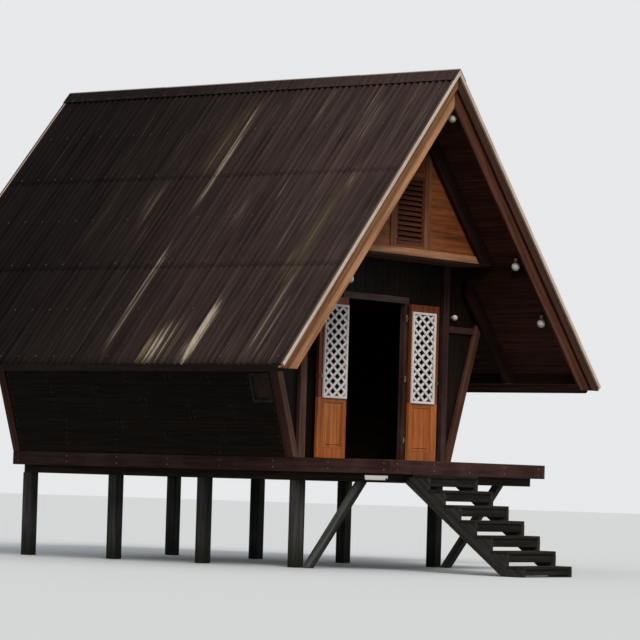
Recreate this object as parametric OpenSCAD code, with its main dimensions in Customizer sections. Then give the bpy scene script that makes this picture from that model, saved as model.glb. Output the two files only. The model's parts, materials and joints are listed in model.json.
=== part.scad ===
// Timber house on stilts with a steep corrugated roof, a porch and an open stair.
// Millimetres. Z is up from the lowest ground or water line, Y runs back along the ridge,
// and the entrance front faces -Y.

/* [Roof] */
// Length of the roof along the ridge, over both verge trims
roof_l = 6400; // [5600:100:7600]
// Half of the roof's width, from the ridge line to an eave
half_span = 3400; // [3200:50:3800]
// Pitch of the roof in degrees
pitch = 48; // [46:1:50]
// Height of the sheet's upper surface at the eave
eave_z = 2390; // [2300:10:2500]
// Width of one wave of the corrugated sheet
wave_w = 95; // [70:5:130]
// Height of the waves
wave_h = 30; // [20:2:40]
// Thickness of the sheet
sheet_t = 6; // [4:1:10]
// Depth of the battens under the sheet
batten_d = 40; // [30:5:60]
// Width of a batten
batten_w = 60; // [40:5:80]
// Battens on each slope
batten_count = 7; // [5:1:10]
// Depth of a rafter, square to the slope
rafter_d = 110; // [90:5:140]
// Width of a rafter
rafter_w = 50; // [40:5:70]
// Rafters on each slope
rafter_count = 8; // [6:1:11]
// Thickness of the lining boards under the rafters
lining_t = 14; // [10:1:20]
// Thickness of the board that closes the rafters at the eave
eave_board_t = 25; // [18:1:35]
// Distance, down the slope, that the sheet passes the eave board
eave_drip = 56; // [30:2:90]
// Distance of the lower soffit purlin from the eave, measured level
lower_purlin_in = 410; // [330:10:520]
// Girth of the ridge cap on each slope
ridge_cap_w = 190; // [150:10:260]
// Thickness of the ridge cap
ridge_cap_t = 8; // [5:1:12]

/* [Verge] */
// Width of the light trim that caps the sheet's front and back edges
trim_w = 32; // [24:2:44]
// Depth of that trim, square to the slope
trim_d = 50; // [40:5:70]
// Thickness of the upper barge board
upper_barge_t = 42; // [30:2:50]
// Depth of the upper barge board, square to the slope
upper_barge_d = 120; // [90:5:150]
// Thickness of the lower barge board
lower_barge_t = 35; // [25:1:45]
// Depth of the lower barge board, square to the slope
lower_barge_d = 180; // [140:5:220]
// How far the lower barge board laps behind the upper one
barge_lap = 20; // [10:5:40]

/* [Body of the house] */
// Height of the floor above the lowest ground or water line
floor_z = 1330; // [1150:10:1500]
// Half of the floor's width, over the side beams
floor_half = 1660; // [1560:10:1760]
// Lean of the side walls, in degrees from upright
lean = 19.3; // [17:0.1:21]
// Front of the door wall, behind the roof's front edge
wall_in = 1150; // [1000:10:1250]
// Back wall, in front of the roof's rear edge
back_in = 700; // [500:10:900]
// Thickness of the upright walls
wall_t = 50; // [40:5:70]
// Width and depth of the corner posts
post_w = 120; // [100:5:140]
// Width of a raking post, measured level
rake_w = 115; // [95:5:130]
// How far the walls sit back from the faces of the posts
wall_set = 20; // [10:2:30]
// Thickness of the leaning side walls, measured level
side_t = 56; // [40:2:70]
// Top of the rail that closes each V of upright and raking post
wing_rail_z = 3090; // [2950:10:3200]
// Depth of that rail
wing_rail_d = 80; // [60:5:110]
// Thickness of the panels inside the V
wing_t = 20; // [15:1:30]

// Length of the side window
window_l = 320; // [260:10:420]
// Height of the side window
window_h = 350; // [280:10:420]
// Height of the side window's sill over the floor
window_sill = 650; // [560:10:760]
// Distance of the side window behind the corner post
window_in = 20; // [15:5:60]
// Width of the side window's frame
window_frame = 35; // [28:1:45]

/* [Upper gable] */
// Underside of the gable beam
tie_z = 3880; // [3860:5:3960]
// Depth of the gable beam
tie_d = 90; // [70:5:120]
// Thickness of the gable beam
tie_t = 80; // [60:5:100]
// Front of the gable boards, behind the roof's front edge
gable_in = 700; // [600:10:800]
// Thickness of the gable boards
gable_t = 40; // [30:2:60]
// Depth of the dark rafters that frame the gable and the front wall, square to the slope
frame_rafter_d = 215; // [150:5:240]
// Thickness of those rafters
frame_rafter_t = 50; // [40:5:56]
// Thickness of the porch ceiling
ceiling_t = 20; // [14:1:30]
// Clear width of the louvred shutter
shutter_w = 600; // [480:10:700]
// Height of the louvred shutter
shutter_h = 860; // [700:10:900]
// Width of the posts beside the shutter
gable_post_w = 120; // [80:5:140]
// Slats in the louvred shutter
slat_count = 12; // [8:1:16]

/* [Doors] */
// Half of the door opening's width
door_half = 605; // [560:5:660]
// Height of the door opening
door_h = 1995; // [1900:5:2100]
// Width of the jambs
jamb_w = 90; // [70:5:110]
// How far the door frame sits back from the front of the corner posts
frame_in = 30; // [10:2:44]
// Depth of the door header
header_d = 80; // [60:5:100]
// Thickness of a door leaf
leaf_t = 40; // [34:1:46]
// Gap round a door leaf
leaf_gap = 6; // [5:0.5:8]
// Gap between the two leaves when both are closed
meeting_gap = 10; // [10:1:16]
// Width of the door stile on the hinge side
hinge_stile = 70; // [60:2:95]
// Width of the door stile where the two leaves meet
meeting_stile = 130; // [110:2:140]
// Height of the bottom rail
bottom_rail = 120; // [90:5:140]
// Height of the lock rail between the panel and the lattice
lock_rail = 86; // [80:2:110]
// Height of the top rail
top_rail = 140; // [120:5:160]
// Bottom of the lattice frame above the leaf's lower edge
lattice_z = 732; // [660:4:780]
// How far the lattice frame laps over the stiles and rails
lattice_lap = 46; // [30:2:50]
// Width of the border round the lattice
border_w = 28; // [20:2:36]
// Width of a lattice bar
lath_w = 34; // [26:2:40]
// Thickness of the lattice
lath_t = 24; // [16:1:28]
// Height of one lattice diamond
diamond_h = 120; // [105:5:160]
// Width of one lattice diamond
diamond_w = 170; // [130:5:190]
// Height of the knobs over the leaf's lower edge
knob_h = 1000; // [900:10:1100]
// Distance of the knobs from the edge where the leaves meet
knob_in = 42; // [34:2:50]
// Distance from the edge of the door opening out to the hinge pins
hinge_throw = 25; // [12:1:32]
// Angle from closed at which the left leaf stands
left_open = 179; // [120:1:180]
// Angle from closed at which the right leaf stands
right_open = 179; // [120:1:180]

/* [Floor and stilts] */
// Thickness of the floor boards
board_t = 30; // [20:2:40]
// Depth of the joists
joist_d = 120; // [100:5:150]
// Width of a joist
joist_w = 60; // [45:5:80]
// Joists from front to back
joist_count = 13; // [10:1:16]
// Depth of the beams that carry the joists
bearer_d = 120; // [100:5:150]
// Width of those beams
bearer_w = 100; // [80:5:120]
// Distance of the outer beams from the middle
bearer_x = 1450; // [1350:10:1500]
// Depth of the beams that edge the floor
edge_d = 170; // [150:5:200]
// Thickness of the beams that edge the floor
edge_t = 60; // [45:5:75]
// Width of the square stilts
stilt_w = 140; // [110:5:160]
// Rows of stilts from front to back
stilt_rows = 4; // [3:1:5]
// Reach of the landing in front of the roof's front edge
landing_out = 300; // [200:10:400]
// Width of the knee braces under the landing
brace_w = 96; // [80:2:110]
// Lean of the knee braces from upright
brace_lean = 36; // [30:1:42]

/* [Stair] */
// Number of risers from ground to landing
riser_count = 8; // [7:1:9]
// Height of the lowest riser, where the stair meets the ground
first_rise = 126; // [110:2:160]
// Going of one step
going = 230; // [220:5:260]
// Width of the stair
stair_w = 1050; // [900:10:1200]
// Left edge of the stair, left of the middle of the door
stair_x = 1200; // [1150:10:1300]
// Thickness of a tread
tread_t = 40; // [30:1:45]
// Depth of the board under the front of each tread
riser_board_d = 92; // [70:2:100]
// Thickness of that board
riser_board_t = 22; // [16:1:28]
// How far a tread stands out in front of its board
nosing = 14; // [8:1:25]
// Thickness of a stringer
stringer_t = 55; // [45:5:70]
// Upright depth of a stringer
stringer_d = 124; // [100:2:140]
// Distance from the line of the nosings down to the stringer
stringer_drop = 228; // [215:1:240]

/* [Lamps] */
// Radius of the globe of a hanging lamp
lamp_r = 54; // [40:1:60]
// Radius of the globe of the lamp on the wall
wall_lamp_r = 38; // [30:1:45]
// Distance of the apex lamp from the ridge line
apex_lamp_x = 110; // [60:5:140]
// Stem of the lamp at the apex
apex_stem = 80; // [50:5:120]
// Stem of the lamps on the right slope
lamp_stem = 55; // [40:5:90]
// Stem of the lamp on the left slope
side_stem = 190; // [150:5:210]
// Distance of the inner lamp from the upper purlin
lamp_in = 100; // [80:5:140]
// Distance of the outer lamp from the upper purlin
lamp_out = 440; // [300:10:600]
// Length of the batten light under the landing
batten_light_l = 330; // [250:10:400]

/* [Hidden] */
tread_count = riser_count - 1;
rise = (floor_z - first_rise) / tread_count;
stair_reach = landing_out + tread_count * going;
front_y = (stair_reach - roof_l) / 2;
ridge_z = eave_z + half_span * tan(pitch);
slope_l = half_span / cos(pitch);
v_sheet = wave_h + sheet_t;
v_rafter = v_sheet + batten_d;
v_lining = v_rafter + rafter_d;
v_inside = v_lining + lining_t;
// What stands against a sloping face keeps this little clearance from it.
seat = 0.1;
v_seat = v_inside + seat;
v_lower_barge = v_sheet + upper_barge_d - barge_lap;
v_barge_end = v_lower_barge + lower_barge_d;
barge_end_z = eave_z - v_sheet / cos(pitch);
lower_barge_y = trim_w + upper_barge_t;
frame_y = lower_barge_y + lower_barge_t;
rafter_end = slope_l - eave_drip - eave_board_t;
wall_y = wall_in;
back_y = roof_l - back_in;
post_in = floor_half - rake_w;
corner_x = post_in - post_w;
door_y = wall_y + frame_in;
leaf_w = door_half - leaf_gap - meeting_gap / 2;
leaf_h = door_h - 2.5 * leaf_gap;
leaf_z = floor_z + 1.5 * leaf_gap;
header_z = floor_z + door_h;
ceiling_z = tie_z - ceiling_t;
joist_z = floor_z - board_t - joist_d;
bearer_z = joist_z - bearer_d;
hinge_r = 10;
pin_r = 5;
pin_y = door_y - hinge_r - 2;
pin_x = door_half + hinge_throw;
plate_t = 3;
purlin_w = 80;
purlin_drop = 100;
upper_purlin_x = (ridge_z - tie_z - v_seat / cos(pitch)) / tan(pitch);
lower_purlin_x = half_span - lower_purlin_in;
mitre = 1;

// A point on the right slope: u down the slope from the ridge, v square to it and inward.
function on_slope(u, v) = [u * cos(pitch) - v * sin(pitch), ridge_z - u * sin(pitch) - v * cos(pitch)];
// Distance down the slope at which depth v meets the upright plane at x.
function u_at_x(x, v) = (x + v * sin(pitch)) / cos(pitch);
// Distance down the slope at which depth v meets the level plane at z.
function u_at_z(z, v) = (ridge_z - z - v * cos(pitch)) / sin(pitch);
// Height of the plane at depth v over x, and the x of that plane at height z.
function plane_z(x, v) = ridge_z - x * tan(pitch) - v / cos(pitch);
function plane_x(z, v) = (ridge_z - z - v / cos(pitch)) / tan(pitch);
// The x of a leaning line that starts at x on the floor.
function lean_x(x, z) = x + (z - floor_z) * tan(lean);
// Height at which a leaning line from x on the floor meets the lining.
function lean_top(x) = (plane_z(x - floor_z * tan(lean), v_seat)) / (1 + tan(lean) * tan(pitch));

// Stands a child at its place: y is 0 at the roof's front edge.
module place() {
    translate([0, front_y, 0]) children();
}

// The same piece on both sides of the ridge.
module both_sides() {
    children();
    mirror([1, 0, 0]) children();
}

// An outline in X and Z, drawn from y0 to y1.
module section(y0, y1, points) {
    translate([0, y1, 0]) rotate([90, 0, 0]) linear_extrude(y1 - y0) polygon(points);
}

// An outline in Y and Z, drawn from x0 to x1.
module profile(x0, x1, points) {
    translate([x0, 0, 0]) rotate([90, 0, 90]) linear_extrude(x1 - x0) polygon(points);
}

module block(x0, x1, y0, y1, z0, z1) {
    translate([x0, y0, z0]) cube([x1 - x0, y1 - y0, z1 - z0]);
}

// A strip of the right slope between two distances and two depths.
module slope_strip(y0, y1, u0, u1, v0, v1) {
    section(y0, y1, [on_slope(u0, v0), on_slope(u1, v0), on_slope(u1, v1), on_slope(u0, v1)]);
}

// A strip that is cut upright at the ridge and square at its lower end.
module ridge_strip(y0, y1, x0, u1, v0, v1) {
    section(y0, y1, [on_slope(u_at_x(x0, v0), v0), on_slope(u1, v0), on_slope(u1, v1),
        on_slope(u_at_x(x0, v1), v1)]);
}

stilt_first = wall_y + stilt_w / 2 + 10;
stilt_last = back_y - edge_t - stilt_w / 2;
stilt_step = (stilt_last - stilt_first) / (stilt_rows - 1);

module stilt_row(x) {
    color("dimgray") place() for (i = [0 : stilt_rows - 1])
        block(x - stilt_w / 2, x + stilt_w / 2, stilt_first + i * stilt_step - stilt_w / 2,
            stilt_first + i * stilt_step + stilt_w / 2, 0, bearer_z);
}

module stilts_left() {
    stilt_row(-bearer_x);
}

module stilts_right() {
    stilt_row(bearer_x);
}

brace_level = brace_w / cos(brace_lean);
brace_foot = stilt_first - stilt_w / 2 - 60 - brace_level;
brace_reach = bearer_z * tan(brace_lean);

module knee_braces() {
    color("gray") place() both_sides()
        profile(bearer_x - brace_w / 2, bearer_x + brace_w / 2, [[brace_foot, 0],
            [brace_foot + brace_level, 0], [brace_foot + brace_level - brace_reach, bearer_z],
            [brace_foot - brace_reach, bearer_z]]);
}

landing_beam_y = -landing_out + edge_t + 50;

module floor_bearers() {
    color("saddlebrown") place() {
        both_sides() block(bearer_x - bearer_w / 2, bearer_x + bearer_w / 2, landing_beam_y,
            back_y - edge_t, bearer_z, joist_z);
        block(-bearer_w / 2, bearer_w / 2, landing_beam_y + bearer_w, back_y - edge_t - bearer_w,
            bearer_z, joist_z);
    }
}

module cross_beams() {
    color("saddlebrown") place() for (y = [landing_beam_y, back_y - edge_t - bearer_w])
        block(-bearer_x + bearer_w / 2, bearer_x - bearer_w / 2, y, y + bearer_w, bearer_z,
            joist_z);
}

joist_first = landing_beam_y + 20;
joist_step = (back_y - edge_t - joist_w - 20 - joist_first) / (joist_count - 1);

module floor_joists() {
    color("sienna") place() for (i = [0 : joist_count - 1])
        block(-floor_half + edge_t, floor_half - edge_t, joist_first + i * joist_step,
            joist_first + i * joist_step + joist_w, joist_z, floor_z - board_t);
}

module side_beams() {
    color("indianred") place() both_sides()
        block(floor_half - edge_t, floor_half, -landing_out, back_y, floor_z - edge_d, floor_z);
}

module end_beams() {
    color("indianred") place() {
        block(-floor_half + edge_t, floor_half - edge_t, -landing_out, -landing_out + edge_t,
            floor_z - edge_d, floor_z);
        block(-floor_half + edge_t, floor_half - edge_t, back_y - edge_t, back_y,
            floor_z - edge_d, floor_z);
    }
}

module floor_boards() {
    color("peru") place() block(-floor_half + edge_t, floor_half - edge_t, wall_y,
        back_y - edge_t, floor_z - board_t, floor_z);
}

module landing_boards() {
    color("peru") place() block(-floor_half + edge_t, floor_half - edge_t,
        -landing_out + edge_t, wall_y, floor_z - board_t, floor_z);
}

// Height of the line through the nosings at y.
function nosing_z(y) = floor_z - rise + (y + landing_out + going) * rise / going;
function nosing_y(z) = (z - floor_z + rise) * going / rise - landing_out - going;

// One carriage: a straight stringer that is stepped on top to carry each tread.
module carriage(x) {
    low = stringer_drop + stringer_d;
    head = min(joist_z, nosing_z(landing_beam_y) - stringer_drop);
    profile(x, x + stringer_t, concat(
        [[nosing_y(low), 0], [landing_beam_y, nosing_z(landing_beam_y) - low],
            [landing_beam_y, head], [nosing_y(head + stringer_drop), head],
            [-landing_out, floor_z - stringer_drop]],
        [for (k = [1 : tread_count], edge = [k - 1, k])
            [-landing_out - edge * going, floor_z - k * rise - tread_t]],
        [[-stair_reach, 0]]));
}

module stair_stringers() {
    color("gray") place() {
        carriage(-stair_x);
        carriage(-stair_x + stair_w - stringer_t);
    }
}

module stair_treads() {
    color("darkgray") place() for (k = [1 : tread_count])
        block(-stair_x, -stair_x + stair_w, -landing_out - k * going,
            -landing_out - (k - 1) * going, floor_z - k * rise - tread_t, floor_z - k * rise);
}

// Boards under the fronts of the treads, between the stringers, with a slot left below each.
module stair_risers() {
    color("gray") place() for (k = [1 : tread_count]) {
        y = -landing_out - k * going + nosing;
        z = floor_z - k * rise - tread_t;
        block(stringer_t + seat - stair_x, stair_w - stringer_t - seat - stair_x, y,
            y + riser_board_t, max(z - riser_board_d, rise / 8), z);
    }
}

module corner_posts() {
    color("indianred") place() both_sides() for (y = [wall_y, back_y - post_w])
        block(corner_x, post_in, y, y + post_w, floor_z, ceiling_z);
}

module raking_posts() {
    color("rosybrown") place() both_sides() for (y = [wall_y, back_y - post_w])
        section(y, y + post_w, [[post_in, floor_z], [floor_half, floor_z],
            [lean_x(floor_half, lean_top(floor_half)), lean_top(floor_half)],
            [lean_x(post_in, lean_top(post_in)), lean_top(post_in)]]);
}

wing_out = post_in - seat;

module wing_rails() {
    z = wing_rail_z - wing_rail_d;
    color("indianred") place() both_sides() for (y = [wall_y, back_y - post_w])
        section(y + wall_set, y + post_w - wall_set, [[post_in, z], [lean_x(wing_out, z), z],
            [lean_x(wing_out, wing_rail_z), wing_rail_z], [post_in, wing_rail_z]]);
}

purlin_out = upper_purlin_x + purlin_w;
purlin_z = plane_z(purlin_out, v_seat) - purlin_drop;

module wing_panels() {
    z = wing_rail_z - wing_rail_d;
    top = lean_top(wing_out);
    color("darkslategray") place() both_sides()
        for (y = [wall_y + post_w / 2, back_y - post_w / 2]) {
            section(y - wing_t / 2, y + wing_t / 2, [[post_in, floor_z], [lean_x(wing_out, z), z],
                [post_in, z]]);
            section(y - wing_t / 2, y + wing_t / 2, [[post_in, wing_rail_z],
                [lean_x(wing_out, wing_rail_z), wing_rail_z], [lean_x(wing_out, top), top],
                [purlin_out, plane_z(purlin_out, v_seat)], [purlin_out, purlin_z],
                [upper_purlin_x, purlin_z], [upper_purlin_x, ceiling_z], [post_in, ceiling_z]]);
        }
}

// The wall beside the doorway, from the jamb to the corner post.
module front_wall_side() {
    block(door_half + jamb_w, corner_x, door_y + wall_set, door_y + wall_set + wall_t, floor_z,
        ceiling_z);
}

module front_wall_left() {
    color("saddlebrown") place() mirror([1, 0, 0]) front_wall_side();
}

module front_wall_right() {
    color("saddlebrown") place() front_wall_side();
}

module front_wall_over() {
    color("saddlebrown") place() block(-door_half - jamb_w, door_half + jamb_w,
        door_y + wall_set, door_y + wall_set + wall_t, header_z + header_d, ceiling_z);
}

module door_jambs() {
    color("peru") place() both_sides() block(door_half, door_half + jamb_w, door_y,
        door_y + wall_set + wall_t, floor_z, header_z);
}

module door_header() {
    color("peru") place() block(-door_half - jamb_w, door_half + jamb_w, door_y,
        door_y + wall_set + wall_t, header_z, header_z + header_d);
}

module porch_ceiling() {
    color("brown") place() block(-upper_purlin_x, upper_purlin_x, gable_in,
        wall_y + post_w, ceiling_z, tie_z);
}

window_y = wall_y + post_w + window_in;
window_z = floor_z + window_sill;

module side_wall() {
    x0 = floor_half - 10 - side_t;
    x1 = floor_half - 10;
    difference() {
        section(wall_y + post_w, back_y - post_w, [[x0, floor_z], [x1, floor_z],
            [lean_x(x1, lean_top(x1)), lean_top(x1)], [lean_x(x0, lean_top(x0)), lean_top(x0)]]);
        block(x0, x1 + half_span / 2, window_y, window_y + window_l, window_z,
            window_z + window_h);
    }
}

module side_wall_left() {
    color("saddlebrown") place() mirror([1, 0, 0]) side_wall();
}

module side_wall_right() {
    color("saddlebrown") place() side_wall();
}

// A piece of the side window that follows the lean of the wall between two heights.
module leaning_piece(y0, y1, z0, z1, inset, thick) {
    x = floor_half - 10 - side_t + inset;
    section(y0, y1, [[lean_x(x, z0), z0], [lean_x(x + thick, z0), z0],
        [lean_x(x + thick, z1), z1], [lean_x(x, z1), z1]]);
}

module side_windows() {
    color("tan") place() both_sides() {
        y1 = window_y + window_l;
        z1 = window_z + window_h;
        f = window_frame;
        leaning_piece(window_y, y1, window_z, window_z + f, 0, side_t + 8);
        leaning_piece(window_y, y1, z1 - f, z1, 0, side_t + 8);
        leaning_piece(window_y, window_y + f, window_z + f, z1 - f, 0, side_t + 8);
        leaning_piece(y1 - f, y1, window_z + f, z1 - f, 0, side_t + 8);
        leaning_piece(window_y + f, y1 - f, window_z + f, z1 - f, side_t / 2, 12);
    }
}

// The back wall fills the frame from floor to lining, between the two corner posts.
module back_wall() {
    y = back_y - wall_set - wall_t;
    color("saddlebrown") place() {
        block(-corner_x, corner_x, y, y + wall_t, floor_z, ceiling_z);
        section(y, y + wall_t, [[-upper_purlin_x, ceiling_z], [upper_purlin_x, ceiling_z],
            [upper_purlin_x, plane_z(upper_purlin_x, v_seat)], [0, plane_z(0, v_seat)],
            [-upper_purlin_x, plane_z(upper_purlin_x, v_seat)]]);
    }
}

module gable_beams() {
    y = gable_in - (tie_t - gable_t) / 2;
    color("peru") place() {
        section(y, y + tie_t, [[-plane_x(tie_z, v_seat), tie_z],
            [plane_x(tie_z, v_seat), tie_z],
            [plane_x(tie_z + tie_d, v_seat), tie_z + tie_d],
            [-plane_x(tie_z + tie_d, v_seat), tie_z + tie_d]]);
    }
}

shutter_half = shutter_w / 2;
gable_post_x = shutter_half + gable_post_w;
shutter_z = tie_z + tie_d + 40;

module gable_wall() {
    z = tie_z + tie_d;
    color("goldenrod") place() {
        both_sides() section(gable_in, gable_in + gable_t, [[gable_post_x, z],
            [plane_x(z, v_seat), z], [gable_post_x, plane_z(gable_post_x, v_seat)]]);
        block(-shutter_half, shutter_half, gable_in, gable_in + gable_t, z, shutter_z);
        section(gable_in, gable_in + gable_t, [[-shutter_half, shutter_z + shutter_h],
            [shutter_half, shutter_z + shutter_h],
            [shutter_half, plane_z(shutter_half, v_seat)], [0, plane_z(0, v_seat)],
            [-shutter_half, plane_z(shutter_half, v_seat)]]);
    }
}

module gable_posts() {
    z = tie_z + tie_d;
    color("burlywood") place() both_sides()
        section(gable_in - 15, gable_in + gable_t + 15, [[shutter_half, z], [gable_post_x, z],
            [gable_post_x, plane_z(gable_post_x, v_seat)],
            [shutter_half, plane_z(shutter_half, v_seat)]]);
}

shutter_frame = 45;

module gable_shutter() {
    z0 = shutter_z;
    z1 = shutter_z + shutter_h;
    f = shutter_frame;
    slat_p = (shutter_h - 2 * f) / slat_count;
    color("sienna") place() {
        both_sides() block(shutter_half - f, shutter_half, gable_in, gable_in + gable_t, z0, z1);
        block(-shutter_half + f, shutter_half - f, gable_in, gable_in + gable_t, z0, z0 + f);
        block(-shutter_half + f, shutter_half - f, gable_in, gable_in + gable_t, z1 - f, z1);
        for (i = [0 : slat_count - 1])
            profile(-shutter_half + f, shutter_half - f, [
                [gable_in + 2, z0 + f + (i + 0.1) * slat_p],
                [gable_in + gable_t - 2, z0 + f + (i + 0.78) * slat_p],
                [gable_in + gable_t - 2, z0 + f + (i + 0.95) * slat_p],
                [gable_in + 2, z0 + f + (i + 0.27) * slat_p]]);
    }
}

v_frame = v_seat + frame_rafter_d;
gable_rafter_y = gable_in - (tie_t - gable_t) / 2 - seat - frame_rafter_t;

// The upper part of a dark rafter pair, from the ridge down to the gable beam.
module gable_rafter(y) {
    z = tie_z + mitre;
    section(y, y + frame_rafter_t, [[mitre, plane_z(mitre, v_seat)],
        [plane_x(z, v_seat), z], [plane_x(z, v_frame), z], [mitre, plane_z(mitre, v_frame)]]);
}

// The lower part, from the upper purlin down to the lower one.
module wall_rafter(y) {
    x0 = purlin_out + seat;
    x1 = lower_purlin_x - seat;
    z1 = plane_z(lower_purlin_x + purlin_w, v_seat) - purlin_drop / 2;
    section(y, y + frame_rafter_t, [[x0, plane_z(x0, v_seat)], [x1, plane_z(x1, v_seat)],
        [x1, z1], [plane_x(z1, v_frame), z1], [x0, plane_z(x0, v_frame)]]);
}

// Purlins under the lining, with the dark rafters that frame the gable and both end walls.
module soffit_purlins() {
    out = lower_purlin_x + purlin_w;
    color("maroon") place() both_sides() {
        gable_rafter(gable_rafter_y);
        gable_rafter(back_y + seat);
        wall_rafter(wall_y - seat - frame_rafter_t);
        wall_rafter(back_y + seat);
        section(frame_y, roof_l - frame_y, [[upper_purlin_x, purlin_z], [purlin_out, purlin_z],
            [purlin_out, plane_z(purlin_out, v_seat)],
            [upper_purlin_x, plane_z(upper_purlin_x, v_seat)]]);
        section(frame_y, roof_l - frame_y, [
            [lower_purlin_x, plane_z(out, v_seat) - purlin_drop / 2],
            [out, plane_z(out, v_seat) - purlin_drop / 2], [out, plane_z(out, v_seat)],
            [lower_purlin_x, plane_z(lower_purlin_x, v_seat)]]);
    }
}

rafter_step = (roof_l - 2 * frame_y - rafter_w) / (rafter_count - 1);

module rafters() {
    color("saddlebrown") place() both_sides() for (i = [0 : rafter_count - 1])
        ridge_strip(frame_y + i * rafter_step, frame_y + i * rafter_step + rafter_w, mitre,
            rafter_end, v_rafter, v_lining);
}

batten_first = 90;
batten_step = (rafter_end - batten_first - batten_w) / (batten_count - 1);

module roof_battens() {
    color("peru") place() both_sides() for (i = [0 : batten_count - 1])
        slope_strip(lower_barge_y, roof_l - lower_barge_y, batten_first + i * batten_step,
            batten_first + i * batten_step + batten_w, v_sheet + seat, v_rafter);
}

module lining() {
    ridge_strip(frame_y, roof_l - frame_y, 0, rafter_end, v_lining, v_inside);
}

module lining_left() {
    color("maroon") place() mirror([1, 0, 0]) lining();
}

module lining_right() {
    color("maroon") place() lining();
}

wave_run = roof_l - 2 * (trim_w + seat);
wave_count = round(wave_run / wave_w);
wave_step = wave_run / (wave_count + 0.25);

// One point of the wavy outline: flat valley, flank, flat crest, flank.
function wave_point(i, lift) = [i * wave_step / 4, (i % 4 < 2 ? 0 : wave_h) + lift];

// Corrugated sheet drawn on the slope, with its waves running down to the eave.
module roof_sheet() {
    count = 4 * wave_count + 1;
    top = [for (i = [0 : count]) wave_point(i, sheet_t)];
    bottom = [for (i = [count : -1 : 0]) wave_point(i, 0)];
    start = u_at_x(4, v_sheet);
    translate([0, trim_w + seat, ridge_z]) rotate([0, pitch, 0])
        translate([start, 0, -v_sheet]) rotate([90, 0, 90])
            linear_extrude(slope_l - start) polygon(concat(bottom, top));
}

module roof_sheet_left() {
    color("dimgray") place() mirror([1, 0, 0]) roof_sheet();
}

module roof_sheet_right() {
    color("dimgray") place() roof_sheet();
}

module ridge_cap() {
    color("lightgray") place() section(0, roof_l, [[0, plane_z(0, -ridge_cap_t)],
        on_slope(ridge_cap_w, -ridge_cap_t), on_slope(ridge_cap_w, 0), [0, ridge_z],
        [-on_slope(ridge_cap_w, 0)[0], on_slope(ridge_cap_w, 0)[1]],
        [-on_slope(ridge_cap_w, -ridge_cap_t)[0], on_slope(ridge_cap_w, -ridge_cap_t)[1]]]);
}

module eave_boards() {
    color("maroon") place() both_sides() slope_strip(frame_y, roof_l - frame_y,
        rafter_end + seat, rafter_end + seat + eave_board_t, v_sheet + seat, v_inside);
}

module verge_trims() {
    color("wheat") place() both_sides() for (y = [0, roof_l - trim_w])
        ridge_strip(y, y + trim_w, mitre, slope_l, 0, trim_d);
}

// A board that follows the verge, cut upright at the ridge and level at the eave.
module verge_board(y0, y1, v0, v1) {
    section(y0, y1, [on_slope(u_at_x(mitre, v0), v0), on_slope(u_at_z(barge_end_z, v0), v0),
        on_slope(u_at_z(barge_end_z, v1), v1), on_slope(u_at_x(mitre, v1), v1)]);
}

module barge_upper() {
    color("rosybrown") place() both_sides() {
        verge_board(trim_w, lower_barge_y, v_sheet + seat, v_sheet + upper_barge_d);
        verge_board(roof_l - lower_barge_y, roof_l - trim_w, v_sheet + seat,
            v_sheet + upper_barge_d);
    }
}

module barge_lower() {
    color("tan") place() both_sides() {
        verge_board(lower_barge_y, frame_y, v_lower_barge, v_barge_end);
        verge_board(roof_l - frame_y, roof_l - lower_barge_y, v_lower_barge, v_barge_end);
    }
}

// Each lamp under the roof: x, distance behind the roof's front edge, length of its stem.
lamp_places = [[apex_lamp_x, frame_y + 1.4 * lamp_r, apex_stem],
    [upper_purlin_x - lamp_in, frame_y + 2.5 * lamp_r, lamp_stem],
    [upper_purlin_x + purlin_w + lamp_out, frame_y + 2.5 * lamp_r, lamp_stem],
    [-upper_purlin_x - purlin_w - lamp_in / 2, frame_y + 1.4 * lamp_r, side_stem]];

// Radius of a lamp's neck.
function neck(r) = r * 0.55;

// A small globe that hangs on a stem.
module lamp(r, stem) {
    translate([0, 0, -r - stem]) sphere(r = r, $fn = 24);
    translate([0, 0, -stem - r / 4]) cylinder(h = stem + r / 4, r = neck(r), $fn = 24);
}

module lamps() {
    color("white") place() {
        for (at = lamp_places)
            translate([at[0], at[1], plane_z(abs(at[0]) + neck(lamp_r), v_seat)])
                lamp(lamp_r, at[2]);
        translate([post_in + post_w, wall_y + (post_w - wing_t) / 2,
            wing_rail_z + 3 * wall_lamp_r]) rotate([-90, 0, 0]) lamp(wall_lamp_r, 12);
        translate([-bearer_x - bearer_w / 2 - 30, landing_beam_y + 35, bearer_z + 20])
            cube([30, batten_light_l, 58]);
    }
}

knuckle_h = 26;
hinge_at = [220, 990, 1760];

// The half of a hinge that is screwed to the jamb: plate, two knuckles and the pin.
module fixed_hinge(z) {
    for (k = [0, 2]) translate([pin_x, pin_y, z + k * (knuckle_h + 1)])
        cylinder(h = knuckle_h, r = hinge_r, $fn = 32);
    translate([pin_x, pin_y, z]) cylinder(h = 3 * knuckle_h + 2, r = pin_r, $fn = 32);
    for (k = [0, 2]) block(pin_x, pin_x + 34, door_y - plate_t, door_y,
        z + k * (knuckle_h + 1), z + k * (knuckle_h + 1) + knuckle_h);
}

module hinge_plates() {
    color("silver") place() both_sides() for (h = hinge_at) fixed_hinge(leaf_z + h);
}

// The right leaf drawn closed, then swung about its pin; the left one is its mirror image.
module hang(open) {
    place() translate([pin_x, pin_y, 0]) rotate([0, 0, open]) translate([-pin_x, -pin_y, 0])
        children();
}

leaf_out = door_half - leaf_gap;
leaf_in = leaf_out - leaf_w;
field_in = leaf_in + meeting_stile;
field_out = leaf_out - hinge_stile;
lock_z = leaf_z + lattice_z + lattice_lap - lock_rail;

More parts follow.
